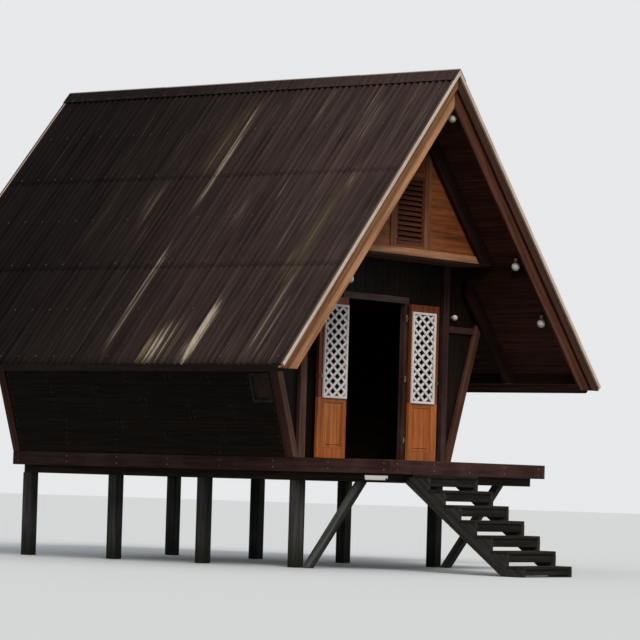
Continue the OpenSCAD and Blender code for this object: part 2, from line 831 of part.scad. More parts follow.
module leaf_frame() {
    y1 = door_y + leaf_t;
    top = leaf_z + leaf_h;
    block(leaf_in, field_in, door_y, y1, leaf_z, top);
    block(field_out, leaf_out, door_y, y1, leaf_z, top);
    block(field_in, field_out, door_y, y1, leaf_z, leaf_z + bottom_rail);
    block(field_in, field_out, door_y, y1, lock_z, lock_z + lock_rail);
    block(field_in, field_out, door_y, y1, top - top_rail, top);
}

// A raised and fielded panel: a thin board with a bevelled face on both sides.
module leaf_panel() {
    z0 = leaf_z + bottom_rail;
    z1 = lock_z;
    mid = door_y + leaf_t / 2;
    block(field_in, field_out, mid - 7, mid + 7, z0, z1);
    for (side = [-1, 1]) translate([(field_in + field_out) / 2, mid + side * 7, (z0 + z1) / 2])
        rotate([side * -90, 0, 0]) linear_extrude(8)
            square([field_out - field_in - 90, z1 - z0 - 90], center = true);
}

// The corners of one hole that lie inside the field, with its middle where the field's corner cuts it.
function hole_points(c, a, b, w, h) = let (
    corners = [for (d = [[a, 0], [0, b], [-a, 0], [0, -b]]) c + d],
    kept = [for (p = corners) if (abs(p[0]) < w / 2 + 0.01 && abs(p[1]) < h / 2 + 0.01) p])
    len(kept) == 2 ? concat(kept, [c]) : kept;

// The lattice is planted on the leaf's inner face and laps over its stiles and rails.
module leaf_lattice() {
    z0 = leaf_z + lattice_z;
    z1 = leaf_z + leaf_h - top_rail + lattice_lap;
    w = field_out - field_in + 2 * (lattice_lap - border_w);
    h = z1 - z0 - 2 * border_w;
    columns = round(2 * w / diamond_w) / 2;
    rows = round(h / diamond_h);
    cell = [w / columns, h / rows];
    tilt = atan(cell[1] / cell[0]);
    a = cell[0] / 2 - lath_w / (2 * sin(tilt));
    b = cell[1] / 2 - lath_w / (2 * cos(tilt));
    translate([(field_in + field_out) / 2, door_y + leaf_t + lath_t, (z0 + z1) / 2])
        rotate([90, 0, 0]) linear_extrude(lath_t) difference() {
            square([w + 2 * border_w, h + 2 * border_w], center = true);
            for (i = [0 : 0.5 : columns], j = [0 : 0.5 : rows]) if ((2 * i + 2 * j) % 2 == 0)
                polygon(hole_points([i * cell[0] - w / 2, j * cell[1] - h / 2], a, b, w, h));
        }
}

module leaf_hardware() {
    for (h = hinge_at) difference() {
        union() {
            translate([pin_x, pin_y, leaf_z + h + knuckle_h + 1])
                cylinder(h = knuckle_h, r = hinge_r, $fn = 32);
            translate([leaf_out - 34, door_y - plate_t, leaf_z + h + knuckle_h + 1])
                cube([pin_x - leaf_out + 34, plate_t, knuckle_h]);
        }
        translate([pin_x, pin_y, leaf_z + h]) cylinder(h = 3 * knuckle_h, r = pin_r + 0.4,
            $fn = 32);
    }
    for (side = [-1, 1]) translate([leaf_in + knob_in, door_y + leaf_t / 2, leaf_z + knob_h])
        rotate([side * -90, 0, 0]) translate([0, 0, leaf_t / 2]) {
            cylinder(h = 4, r = 24, $fn = 32);
            cylinder(h = 18, r = 8, $fn = 32);
            translate([0, 0, 16]) cylinder(h = 12, r = 20, $fn = 32);
        }
}

module left_hang() {
    mirror([1, 0, 0]) hang(left_open) children();
}

module left_leaf_frame() {
    color("orange") left_hang() leaf_frame();
}

module left_leaf_panel() {
    color("sandybrown") left_hang() leaf_panel();
}

module left_leaf_lattice() {
    color("white") left_hang() leaf_lattice();
}

module left_leaf_hardware() {
    color("silver") left_hang() leaf_hardware();
}

module right_leaf_frame() {
    color("orange") hang(right_open) leaf_frame();
}

module right_leaf_panel() {
    color("sandybrown") hang(right_open) leaf_panel();
}

module right_leaf_lattice() {
    color("white") hang(right_open) leaf_lattice();
}

module right_leaf_hardware() {
    color("silver") hang(right_open) leaf_hardware();
}

stilts_left();
stilts_right();
knee_braces();
floor_bearers();
cross_beams();
floor_joists();
side_beams();
end_beams();
floor_boards();
landing_boards();
stair_stringers();
stair_treads();
stair_risers();
corner_posts();
raking_posts();
wing_rails();
wing_panels();
front_wall_left();
front_wall_right();
front_wall_over();
door_jambs();
door_header();
porch_ceiling();
side_wall_left();
side_wall_right();
side_windows();
back_wall();
gable_beams();
gable_wall();
gable_posts();
gable_shutter();
soffit_purlins();
rafters();
roof_battens();
lining_left();
lining_right();
roof_sheet_left();
roof_sheet_right();
ridge_cap();
eave_boards();
verge_trims();
barge_upper();
barge_lower();
lamps();
hinge_plates();
left_leaf_frame();
left_leaf_panel();
left_leaf_lattice();
left_leaf_hardware();
right_leaf_frame();
right_leaf_panel();
right_leaf_lattice();
right_leaf_hardware();
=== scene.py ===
import json
import math
import random
import bmesh
import bpy
from mathutils import Matrix, Vector


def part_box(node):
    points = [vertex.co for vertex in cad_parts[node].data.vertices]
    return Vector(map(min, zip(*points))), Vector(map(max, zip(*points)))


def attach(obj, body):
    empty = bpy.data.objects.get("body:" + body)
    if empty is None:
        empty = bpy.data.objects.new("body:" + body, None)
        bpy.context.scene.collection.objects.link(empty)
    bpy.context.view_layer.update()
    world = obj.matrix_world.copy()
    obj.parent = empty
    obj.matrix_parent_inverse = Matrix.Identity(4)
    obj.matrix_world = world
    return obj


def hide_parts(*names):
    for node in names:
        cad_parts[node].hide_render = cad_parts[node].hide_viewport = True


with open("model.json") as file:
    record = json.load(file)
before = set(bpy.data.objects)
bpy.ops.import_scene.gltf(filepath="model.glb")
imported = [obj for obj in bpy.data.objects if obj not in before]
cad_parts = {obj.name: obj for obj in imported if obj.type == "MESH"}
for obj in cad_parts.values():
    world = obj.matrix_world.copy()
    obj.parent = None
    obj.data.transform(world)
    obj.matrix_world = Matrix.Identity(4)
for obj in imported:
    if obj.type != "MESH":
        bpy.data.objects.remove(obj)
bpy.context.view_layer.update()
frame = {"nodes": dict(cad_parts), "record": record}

# The view is taken from low down and a long way off, about 53 degrees round from the gable
# front, so that the left slope of the roof, the porch and the stair all show.
eye = Vector((-34.005, -26.012, 0.994))
look_round = math.radians(52.781)
look_up = math.radians(2.808)
look_roll = math.radians(1.661)
ahead = Vector((math.sin(look_round) * math.cos(look_up), math.cos(look_round) * math.cos(look_up),
                math.sin(look_up)))
level_right = Vector((math.cos(look_round), -math.sin(look_round), 0))
level_up = level_right.cross(ahead)
right = math.cos(look_roll) * level_right + math.sin(look_roll) * level_up
up = math.cos(look_roll) * level_up - math.sin(look_roll) * level_right
camera_data = bpy.data.cameras.new("camera")
camera_data.lens = 190.2
camera_data.sensor_width = 36
camera_data.clip_end = 600
camera = bpy.data.objects.new("camera", camera_data)
bpy.context.collection.objects.link(camera)
camera.matrix_world = Matrix.Translation(eye) @ Matrix((right, up, -ahead)).transposed().to_4x4()
bpy.context.scene.camera = camera
bpy.context.scene.view_settings.view_transform = "Standard"

# The light is a pale even sky with one broad soft lamp from the front left, high enough to
# reach the doors under the roof. The studio floor and the sky behind are plain and pale to the
# eye, and the floor throws back little light, so the parts under the house stay dark.
sky_level = 0.45
lamp_level = 2.0
lamp_spread = math.radians(24)
lamp_from = Vector((-0.60, -0.62, 0.72))
pale = (0.80, 0.81, 0.82)
floor_size = 240


def feed(node, inputs):
    """Links sockets to a node's inputs and sets values on them. A colour is its three parts."""
    for key, value in inputs.items():
        socket = node.inputs[key]
        if isinstance(value, bpy.types.NodeSocket):
            node.id_data.links.new(value, socket)
        else:
            socket.default_value = (*value, 1) if socket.type == "RGBA" else value


def new_node(tree, kind, inputs=None, **settings):
    made = tree.nodes.new("ShaderNode" + kind)
    for key, value in settings.items():
        setattr(made, key, value)
    feed(made, inputs or {})
    return made


def new_finish(name):
    """A new material, its nodes and its surface shader."""
    material = bpy.data.materials.new(name)
    material.use_nodes = True
    return material, material.node_tree, material.node_tree.nodes["Principled BSDF"]


def maths(operation, first, second=0.5, third=None):
    inputs = {0: first, 1: second}
    if third is not None:
        inputs[2] = third
    return new_node(first.id_data, "Math", inputs, operation=operation).outputs[0]


def show_only_to_view(output, lit, plain):
    """Sends the plain shader to the camera and to reflections, and lets lit do the lighting."""
    path = new_node(output.id_data, "LightPath").outputs
    seen = maths("MAXIMUM", path["Is Camera Ray"], path["Is Glossy Ray"])
    seen = maths("MAXIMUM", seen, path["Is Transmission Ray"])
    mix = new_node(output.id_data, "MixShader", {"Fac": seen, 1: lit.outputs[0], 2: plain.outputs[0]})
    feed(output, {"Surface": mix.outputs[0]})


world = bpy.data.worlds.new("sky")
bpy.context.scene.world = world
world.use_nodes = True
sky_nodes = world.node_tree.nodes
feed(sky_nodes["Background"], {"Color": (0.93, 0.97, 1.0), "Strength": sky_level})
sky_plain = new_node(world.node_tree, "Background", {"Color": pale, "Strength": 1.0})
show_only_to_view(sky_nodes["World Output"], sky_nodes["Background"], sky_plain)

lamp_data = bpy.data.lights.new("broad_lamp", "SUN")
lamp_data.energy = lamp_level
lamp_data.angle = lamp_spread
lamp_data.color = (1.0, 0.97, 0.92)
broad_lamp = bpy.data.objects.new("broad_lamp", lamp_data)
broad_lamp.rotation_euler = lamp_from.to_track_quat("Z", "Y").to_euler()
bpy.context.collection.objects.link(broad_lamp)

bpy.ops.mesh.primitive_plane_add(size=floor_size, location=(0, 0, -0.002))
studio_floor = bpy.context.object
studio_floor.name = "studio_floor"
studio_finish, studio_tree, studio_surface = new_finish("studio_floor")
feed(studio_surface, {"Base Color": pale, "Roughness": 0.9, "Specular IOR Level": 0.1})
studio_lit = new_node(studio_tree, "BsdfDiffuse", {"Color": (0.12, 0.115, 0.105)})
show_only_to_view(studio_tree.nodes["Material Output"], studio_lit, studio_surface)
studio_floor.data.materials.append(studio_finish)

# The house stands on two rows of square hardwood posts, sawn, never painted and gone grey,
# with two knee braces of the same timber that prop the landing at the front corners.
post_ease = 0.006
record = frame["record"]
body_of = {node: body for body, nodes in record["behaviour"]["bodies"].items() for node in nodes}


def islands_of(bm):
    """The separate pieces of a mesh, each as a list of its vertices."""
    seen, found = set(), []
    for first in bm.verts:
        if first in seen:
            continue
        seen.add(first)
        piece = [first]
        for here in piece:
            for edge in here.link_edges:
                other = edge.other_vert(here)
                if other not in seen:
                    seen.add(other)
                    piece.append(other)
        found.append(piece)
    return found


def grain_along(bm, seed, axis=None):
    """Gives each piece of timber its own stretch of grain, along its longest edge or the axis
    given, and its own tone."""
    bm.verts.index_update()
    grain = bm.loops.layers.uv.new("grain")
    tone = bm.loops.layers.uv.new("tone")
    dice = random.Random(seed)
    for piece in islands_of(bm):
        piece.sort(key=lambda vert: vert.index)
        faces = {face for vert in piece for face in vert.link_faces}
        along = axis
        if along is None:
            edges = {edge for vert in piece for edge in vert.link_edges}
            longest = max(edges, key=lambda edge: (round(edge.calc_length(), 4), -edge.index))
            along = (longest.verts[1].co - longest.verts[0].co).normalized()
        start = Vector((0, 1, 0)) if abs(along.y) < 0.9 else Vector((1, 0, 0))
        side = (start - along * start.dot(along)).normalized()
        third = along.cross(side)
        shift = (dice.uniform(0, 50), dice.uniform(0, 50))
        shade = (dice.random(), dice.random())
        for face in faces:
            for loop in face.loops:
                place = loop.vert.co
                loop[grain].uv = (place.dot(along) + shift[0],
                                  place.dot(side) + 0.7 * place.dot(third) + shift[1])
                loop[tone].uv = shade


def solid_of(node):
    """A CAD node's shape as a clean mesh of flat faces."""
    bm = bmesh.new()
    bm.from_mesh(frame["nodes"][node].data)
    bmesh.ops.remove_doubles(bm, verts=bm.verts, dist=0.00002)
    bmesh.ops.dissolve_limit(bm, angle_limit=math.radians(1), verts=bm.verts, edges=bm.edges)
    bm.edges.index_update()
    return bm


def made_of(bm, name, finish, node, ease=0.0, steps=2, instead=True):
    """Turns a mesh into a piece with eased edges and its finish. It rides with a CAD node, and
    stands for the node unless it is only fixed to it."""
    bmesh.ops.recalc_face_normals(bm, faces=bm.faces)
    data = bpy.data.meshes.new(name)
    bm.to_mesh(data)
    bm.free()
    piece = bpy.data.objects.new(name, data)
    bpy.context.collection.objects.link(piece)
    data.materials.append(finish)
    if ease:
        bevel = piece.modifiers.new("eased edges", "BEVEL")
        bevel.width = ease
        bevel.segments = steps
        bevel.limit_method = "ANGLE"
        bevel.angle_limit = math.radians(35)
    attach(piece, body_of[node])
    if instead:
        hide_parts(node)
    return piece


def eased_timber(node, finish, ease, axis=None):
    """Stands for a node of plain timbers: the same timbers with eased edges and real grain."""
    bm = solid_of(node)
    grain_along(bm, node, axis)
    return made_of(bm, node + "_timber", finish, node, ease)


def times(first, second, plus=None):
    return maths("MULTIPLY" if plus is None else "MULTIPLY_ADD", first, second, plus)


def ramp(source, low, high, low_value=0.0, high_value=1.0):
    made = new_node(source.id_data, "MapRange",
                    {"Value": source, "From Min": low, "From Max": high, "To Min": low_value,
                     "To Max": high_value}, interpolation_type="SMOOTHSTEP")
    return made.outputs["Result"]


def blend(amount, first, second):
    made = new_node(amount.id_data, "Mix", data_type="RGBA")
    feed(made, {0: amount, 6: first, 7: second})
    return made.outputs[2]


def noise(place, scale, detail=4.0, rough=0.55, twist=0.0):
    """Noise of one scale, or of two: along the grain and across it."""
    if isinstance(scale, tuple):
        place = new_node(place.id_data, "VectorMath", {0: place, 1: (*scale, 1.0)},
                         operation="MULTIPLY").outputs[0]
        scale = 1.0
    made = new_node(place.id_data, "TexNoise", {"Vector": place, "Scale": scale, "Detail": detail,
                                                "Roughness": rough, "Distortion": twist})
    return made.outputs["Fac"]


def parts_of(source):
    return new_node(source.id_data, "SeparateXYZ", {0: source}).outputs


def laid_out(tree, name):
    return new_node(tree, "UVMap", uv_map=name).outputs["UV"]


def toned(colour, value, hue=0.5):
    """The colour made lighter or darker by value, with its hue turned a little."""
    return new_node(colour.id_data, "HueSaturation",
                    {"Hue": hue, "Value": value, "Color": colour}).outputs[0]


def relief_of(height, strength, depth):
    bump = {"Strength": strength, "Distance": depth, "Height": height}
    return new_node(height.id_data, "Bump", bump).outputs[0]


def timber_finish(name, dark, light, rough=0.6, coat=0.0, tone_spread=0.35, stain=None, relief=0.5,
                  rings=24.0, shine=0.12, damp_and_shade=0.0):
    """Timber with long figure, fine fibres and a tone of its own for each board. A stain, such
    as grime or silvering, is a colour and an amount, in patches that don't follow the grain.
    The last argument is the height up to which the foot of a post goes dark green: partly damp, partly
    painted shade under the house."""
    material, tree, surface = new_finish(name)
    grain = laid_out(tree, "grain")
    tone = parts_of(laid_out(tree, "tone"))
    figure = noise(grain, (0.9, rings), 5.0, 0.6, 0.35)
    fibre = noise(grain, (6.0, 260.0), 3.0, 0.6)
    pores = noise(grain, (22.0, 520.0), 1.0, 0.5)
    lift = maths("ADD", times(figure, 0.68), times(fibre, 0.32))
    colour = blend(ramp(lift, 0.34, 0.66), dark, light)
    colour = blend(ramp(pores, 0.60, 0.72, 0.0, 0.45), colour, [part * 0.45 for part in dark])
    colour = toned(colour, times(tone[0], tone_spread, 1.0 - tone_spread / 2),
                   times(tone[1], 0.008, 0.496))
    if stain:
        place = new_node(tree, "TexCoord").outputs["Object"]
        patches = noise(place, 1.7, 6.0, 0.65)
        colour = blend(ramp(patches, 0.42, 0.68, 0.0, stain[1]), colour, stain[0])
        # Towards the foot the colour goes dark green: partly damp, partly painted shade under the house.
        if damp_and_shade:
            ragged = times(noise(place, 9.0, 5.0, 0.7), 0.25, parts_of(place)[2])
            soaked = ramp(ragged, 0.12, damp_and_shade + 0.12, 0.85, 0.0)
            colour = blend(soaked, colour, (0.011, 0.013, 0.006))
    feed(surface, {"Base Color": colour, "Specular IOR Level": shine, "Coat Weight": coat,
                   "Roughness": ramp(lift, 0.3, 0.7, rough + 0.1, rough - 0.08),
                   "Coat Roughness": 0.3, "Normal": relief_of(lift, relief, 0.002)})
    return material


def own_timber(node, ease, dark, light, rough=0.6, axis=None, **look):
    """Eased timbers with a finish of their own."""
    return eased_timber(node, timber_finish(node, dark, light, rough, **look), ease, axis)


# The posts go dark green towards the foot, partly damp and partly painted shade under the house.
weathered = timber_finish("weathered_timber", (0.026, 0.025, 0.024), (0.105, 0.101, 0.096), 0.82,
                          stain=((0.022, 0.024, 0.017), 0.6), relief=0.9, damp_and_shade=0.45)
eased_timber("stilts_left", weathered, post_ease)
eased_timber("stilts_right", weathered, post_ease)
own_timber("knee_braces", post_ease, (0.032, 0.033, 0.031), (0.125, 0.126, 0.118), 0.8,
           stain=((0.06, 0.064, 0.054), 0.5), relief=0.9)

# Long bearers lie on the posts, with a cross beam at each end, and the joists lie across them.
# All are rough sawn and dark, because they never see the sun.
beam_ease = 0.004
sawn = timber_finish("floor_timber", (0.016, 0.01, 0.008), (0.056, 0.036, 0.026), 0.8,
                     stain=((0.012, 0.011, 0.008), 0.5), relief=0.8)
for node in ("floor_bearers", "cross_beams", "floor_joists"):
    eased_timber(node, sawn, beam_ease)

# The fascia beams that close the floor all round are planed hardwood with a red-brown stain,
# worn paler along the front of the landing.
fascia_ease = 0.006
red_stained = timber_finish("red_timber", (0.016, 0.0062, 0.005), (0.066, 0.027, 0.021),
                            tone_spread=0.3, stain=((0.11, 0.068, 0.06), 0.4))
eased_timber("side_beams", red_stained, fascia_ease)
own_timber("end_beams", fascia_ease, (0.02, 0.0068, 0.0054), (0.078, 0.0275, 0.0215), 0.65,
           tone_spread=0.3, stain=((0.100, 0.058, 0.05), 0.35))

# Floor and landing are wide boards nailed to every joist with two nails each, and butted end to
# end on a joist. The landing boards are greyer from wear and rain.
X_AXIS = Vector((1, 0, 0))
Y_AXIS = Vector((0, 1, 0))
Z_AXIS = Vector((0, 0, 1))
floor_board_w = 0.135
floor_board_l = 2.4
nail_r = 0.0045
nail_rise = 0.0012
landing_joists = (0.075, 0.50, 0.93, 1.33)
landing_nail_out = 0.28


def sawn_off(bm, place, keep):
    """Saws a mesh through a plane and closes the cut, keeping the side that keep points to."""
    cut = bmesh.ops.bisect_plane(bm, geom=bm.verts[:] + bm.edges[:] + bm.faces[:], dist=0.00001,
                                 plane_co=place, plane_no=keep, clear_inner=True)
    edges = [item for item in cut["geom_cut"] if isinstance(item, bmesh.types.BMEdge)]
    if edges:
        bmesh.ops.edgenet_fill(bm, edges=edges)


def put_into(whole, part, shift=Vector()):
    """Copies a mesh into another one, moved by the shift, and frees it."""
    copies = {vert: whole.verts.new(vert.co + shift) for vert in part.verts}
    for face in part.faces:
        whole.faces.new([copies[vert] for vert in face.verts])
    part.free()


def reach_of(verts, way):
    """From where to where some vertices reach in a direction."""
    reach = [vert.co.dot(way) for vert in verts]
    return min(reach), max(reach)


def boards_of(node, across, width, along=None, butt=None):
    """The CAD slab sawn into boards of about the width given, so that every board ends where
    the slab does. With butt, the boards are also cut to that length along, in staggered joints."""
    slab = solid_of(node)
    low, high = reach_of(slab.verts, across)
    count = max(1, round((high - low) / width))
    step = (high - low) / count
    whole = bmesh.new()
    for number in range(count):
        strip = slab.copy()
        if number:
            sawn_off(strip, across * (low + number * step), across)
        if number < count - 1:
            sawn_off(strip, across * (low + (number + 1) * step), -across)
        parts = [strip]
        if butt:
            start, end = reach_of(strip.verts, along)
            cut = start + butt * (0.35 + 0.65 * ((number * 0.382) % 1.0))
            while cut < end - butt * 0.2:
                rest = parts[-1].copy()
                sawn_off(parts[-1], along * cut, -along)
                sawn_off(rest, along * cut, along)
                parts.append(rest)
                cut += butt
        for part in parts:
            put_into(whole, part)
    slab.free()
    whole.verts.index_update()
    whole.edges.index_update()
    return whole


def boarding(node, finish, across, along, width, ease=0.0025, butt=None):
    bm = boards_of(node, across, width, along, butt)
    grain_along(bm, node, along)
    made_of(bm, node + "_boards", finish, node, ease, 1)


def steel_finish(name, dark, light, metal, rough):
    """Metal that has gone dull and spotted in the damp."""
    material, tree, surface = new_finish(name)
    place = new_node(tree, "TexCoord").outputs["Object"]
    clouds = noise(place, 26.0, 5.0, 0.65)
    spots = noise(place, 240.0, 3.0, 0.6)
    colour = blend(ramp(clouds, 0.35, 0.65), dark, light)
    rust = (dark[0] * 0.6, dark[1] * 0.42, dark[2] * 0.3)
    colour = blend(ramp(spots, 0.56, 0.70, 0.0, 0.7), colour, rust)
    feed(surface, {"Base Color": colour, "Metallic": metal, "Specular IOR Level": 0.3,
                   "Roughness": ramp(clouds, 0.3, 0.7, rough + 0.12, rough - 0.08),
                   "Normal": relief_of(spots, 0.3, 0.0004)})
    return material


def turned(bm, foot, up_axis, outline, sides=20, smooth=True):
    """A turned shape on a foot point: the outline gives distance along the axis and radius."""
    turn = up_axis.to_track_quat("Z", "Y")
    rings = []
    for along, radius in outline:
        ring = []
        for number in range(sides):
            angle = math.tau * number / sides
            spot = Vector((radius * math.cos(angle), radius * math.sin(angle), along))
            ring.append(bm.verts.new(foot + turn @ spot))
        rings.append(ring)
    for lower, upper in zip(rings, rings[1:]):
        for number in range(sides):
            after = (number + 1) % sides
            face = bm.faces.new((lower[number], lower[after], upper[after], upper[number]))
            face.smooth = smooth
    bm.faces.new(rings[0][::-1])
    bm.faces.new(rings[-1])


def round_heads(name, places, facing, radius, height, finish, node):
    """Low domed heads of nails, screws or bolts in a node, standing on the places given."""
    bm = bmesh.new()
    outline = ((-0.001, radius), (height * 0.4, radius), (height, radius * 0.62))
    for place in places:
        turned(bm, place, facing, outline, 8, False)
    made_of(bm, name, finish, node, instead=False)


def nailed(name, bm, facing, node, spacing, inset, rows=(0.25, 0.75), radius=nail_r,
           height=nail_rise):
    """Heads on the widest face of each board that looks the given way, spaced along it from an
    inset at each end. Rows are shares of the board's width."""
    bmesh.ops.recalc_face_normals(bm, faces=bm.faces)
    places, outward = [], facing
    for piece in islands_of(bm):
        touching = dict.fromkeys(face for vert in piece for face in vert.link_faces)
        seen = [face for face in touching if face.normal.dot(facing) > 0.9]
        if not seen:
            continue
        front = max(seen, key=lambda face: face.calc_area())
        outward = front.normal.copy()
        longest = max(front.edges, key=lambda edge: edge.calc_length())
        run = (longest.verts[1].co - longest.verts[0].co).normalized()
        aside = outward.cross(run)
        start, end = reach_of(front.verts, run)
        start, end = start + inset, end - inset
        low, high = reach_of(front.verts, aside)
        if end <= start:
            continue
        count = max(1, round((end - start) / spacing))
        for number in range(count + 1):
            for row in rows:
                spot = run * (start + (end - start) * number / count)
                spot += aside * (low + (high - low) * row)
                spot += outward * front.verts[0].co.dot(outward)
                if bmesh.geometry.intersect_face_point(front, spot):
                    places.append(spot)
    bm.free()
    round_heads(name, places, outward, radius, height, nail_steel, node)


indoor_finish = timber_finish("floor_boards", (0.04, 0.019, 0.011), (0.13, 0.066, 0.038), 0.5,
                              tone_spread=0.5, shine=0.25)
landing_finish = timber_finish("landing_boards", (0.03, 0.02, 0.015), (0.12, 0.084, 0.062), 0.75,
                               tone_spread=0.5, stain=((0.075, 0.07, 0.062), 0.6))
nail_steel = steel_finish("nail_heads", (0.10, 0.09, 0.08), (0.24, 0.22, 0.20), 0.8, 0.5)
boarding("floor_boards", indoor_finish, X_AXIS, Y_AXIS, floor_board_w, butt=floor_board_l)
boarding("landing_boards", landing_finish, X_AXIS, Y_AXIS, floor_board_w)
landing_low, landing_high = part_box("landing_boards")
landing_count = round((landing_high.x - landing_low.x) / floor_board_w)
landing_step = (landing_high.x - landing_low.x) / landing_count
landing_nails = []
for number in range(landing_count):
    for back in landing_joists:
        for aside in (-landing_nail_out, landing_nail_out):
            landing_nails.append(Vector((landing_low.x + (number + 0.5 + aside) * landing_step,
                                         landing_low.y + back, landing_high.z)))
round_heads("landing_nails", landing_nails, Z_AXIS, nail_r, nail_rise, nail_steel, "landing_boards")
for node, facing, name in (("side_beams", -X_AXIS, "left"), ("side_beams", X_AXIS, "right"),
                           ("end_beams", -Y_AXIS, "front"), ("end_beams", Y_AXIS, "back")):
    nailed("beam_bolts_" + name, solid_of(node), facing, node, spacing=0.8, inset=0.09,
           rows=(0.28, 0.72), radius=0.009, height=0.004)

# The stair is two stepped carriages of weathered plank with seven treads laid across them. A
# board hangs under the front of each tread, and a slot is left between it and the tread below.
tread_finish = timber_finish("stair_treads", (0.007, 0.0056, 0.0048), (0.03, 0.025, 0.021), 0.8,
                             tone_spread=0.5, stain=((0.012, 0.013, 0.008), 0.5), relief=0.9)
tread_nail_in = 0.027
tread_nail_backs = (0.05, 0.115, 0.18)


def corners_of(verts):
    """The low and the high corner of the box round some vertices."""
    return (Vector([min(vert.co[axis] for vert in verts) for axis in range(3)]),
            Vector([max(vert.co[axis] for vert in verts) for axis in range(3)]))


own_timber("stair_stringers", 0.004, (0.012, 0.011, 0.01), (0.05, 0.047, 0.043), 0.8,
           stain=((0.016, 0.017, 0.012), 0.5), relief=0.9)
eased_timber("stair_treads", tread_finish, 0.008)
eased_timber("stair_risers", tread_finish, 0.003)
tread_nails = []
treads = solid_of("stair_treads")
for piece in islands_of(treads):
    low_corner, high_corner = corners_of(piece)
    for x in (low_corner.x + tread_nail_in, high_corner.x - tread_nail_in):
        for back in tread_nail_backs:
            tread_nails.append(Vector((x, low_corner.y + back, high_corner.z)))
round_heads("tread_nails", tread_nails, Z_AXIS, 0.005, 0.0014, nail_steel, "stair_treads")

# Each corner is a V of two posts, one upright and one raking outwards under the roof, tied by
# a short rail. They are planed hardwood, stained red-brown; the faces at the front left, where
# the lamp falls, take a lighter dusty pink copy of the finish as painted light.
# A lighter copy of the post finish: painted light for the faces the lamp falls on.
lit_pink_finish = timber_finish("corner_posts", (0.066, 0.0285, 0.022), (0.225, 0.108, 0.084),
                             tone_spread=0.2, stain=((0.24, 0.15, 0.12), 0.4))
# The wing panels are near black: a dark finish made darker still to paint the deep shade beside the walls.
shaded_panel_finish = timber_finish("dark_panel", (0.004, 0.002, 0.0013), (0.014, 0.0064, 0.004),
                             shine=0.08)


def second_finish(piece, finish, picked):
    """Gives the faces that picked chooses a finish of their own."""
    piece.data.materials.append(finish)
    for face in piece.data.polygons:
        if picked(face):
            face.material_index = 1


def front_left(face):
    return face.center.x < 0 and face.center.y < 0


# The front-left faces take the lighter pink copy: painted light.
second_finish(eased_timber("corner_posts", red_stained, post_ease), lit_pink_finish, front_left)
rakers = own_timber("raking_posts", post_ease, (0.036, 0.013, 0.007), (0.125, 0.05, 0.027),
                    tone_spread=0.25, stain=((0.100, 0.06, 0.048), 0.35))
second_finish(rakers, lit_pink_finish, lambda face: front_left(face) and face.normal.y < -0.5)
eased_timber("wing_rails", red_stained, 0.004)
boarding("wing_panels", shaded_panel_finish, X_AXIS, Z_AXIS, 0.11)

# The walls are narrow tongued boards in a dark stain: upright beside and over the doorway, and
# laid level on the leaning sides and the back.
front_board_w = 0.095
wall_board_w = 0.14
wall_board_l = 3.0
# The stain is made darker than the boards' own colour, to paint the deep shade under the roof.
shaded_wall_finish = timber_finish("wall_boards", (0.0034, 0.0021, 0.0013), (0.014, 0.0084, 0.0048),
                            tone_spread=0.5, shine=0.06, stain=((0.01, 0.008, 0.006), 0.4))
for node in ("front_wall_left", "front_wall_right", "front_wall_over"):
    boarding(node, shaded_wall_finish, X_AXIS, Z_AXIS, front_board_w)
for node, facing, along, butt in (("side_wall_left", -X_AXIS, Y_AXIS, wall_board_l),
                                  ("side_wall_right", X_AXIS, Y_AXIS, wall_board_l),
                                  ("back_wall", Y_AXIS, X_AXIS, None)):
    boarding(node, shaded_wall_finish, Z_AXIS, along, wall_board_w, 0.004, butt)
    nailed(node + "_nails", boards_of(node, Z_AXIS, wall_board_w, along, butt), facing, node,
           spacing=0.72, inset=0.035, radius=0.004, height=0.001)

# The side windows are small fixed lights, one in each leaning wall: a planed frame with a pane
# of frosted glass set back in it, gone pinkish grey with dust.
window_finish = timber_finish("window_timber", (0.018, 0.017, 0.012), (0.074, 0.068, 0.052), 0.7)
pane_finish = timber_finish("window_pane", (0.064, 0.038, 0.034), (0.11, 0.068, 0.063),
                            tone_spread=0.05, relief=0.05, rings=3.0, shine=0.1)
window_bar_w = 0.03
pane_depth = 0.01
window_bm = solid_of("side_windows")
grain_along(window_bm, "side_windows")
for outward in (-1, 1):
    faces = [face for face in window_bm.faces if face.normal.x * outward > 0.7 and
             face.calc_center_median().x * outward > 0]
    pane = max(faces, key=lambda face: face.calc_area())
    bmesh.ops.inset_individual(window_bm, faces=[pane], thickness=window_bar_w, depth=-pane_depth)
    for edge in pane.edges:
        for face in edge.link_faces:
            face.material_index = int(face == pane)
windows = made_of(window_bm, "side_window_lights", window_finish, "side_windows", 0.002)
windows.data.materials.append(pane_finish)

# The door frame is planed hardwood with a light oil. It has two jambs and a header that runs
# over them, all fixed to the edge of the wall's boards.
eased_timber("door_jambs", red_stained, 0.004)
own_timber("door_header", 0.005, (0.045, 0.027, 0.024), (0.145, 0.100, 0.09))

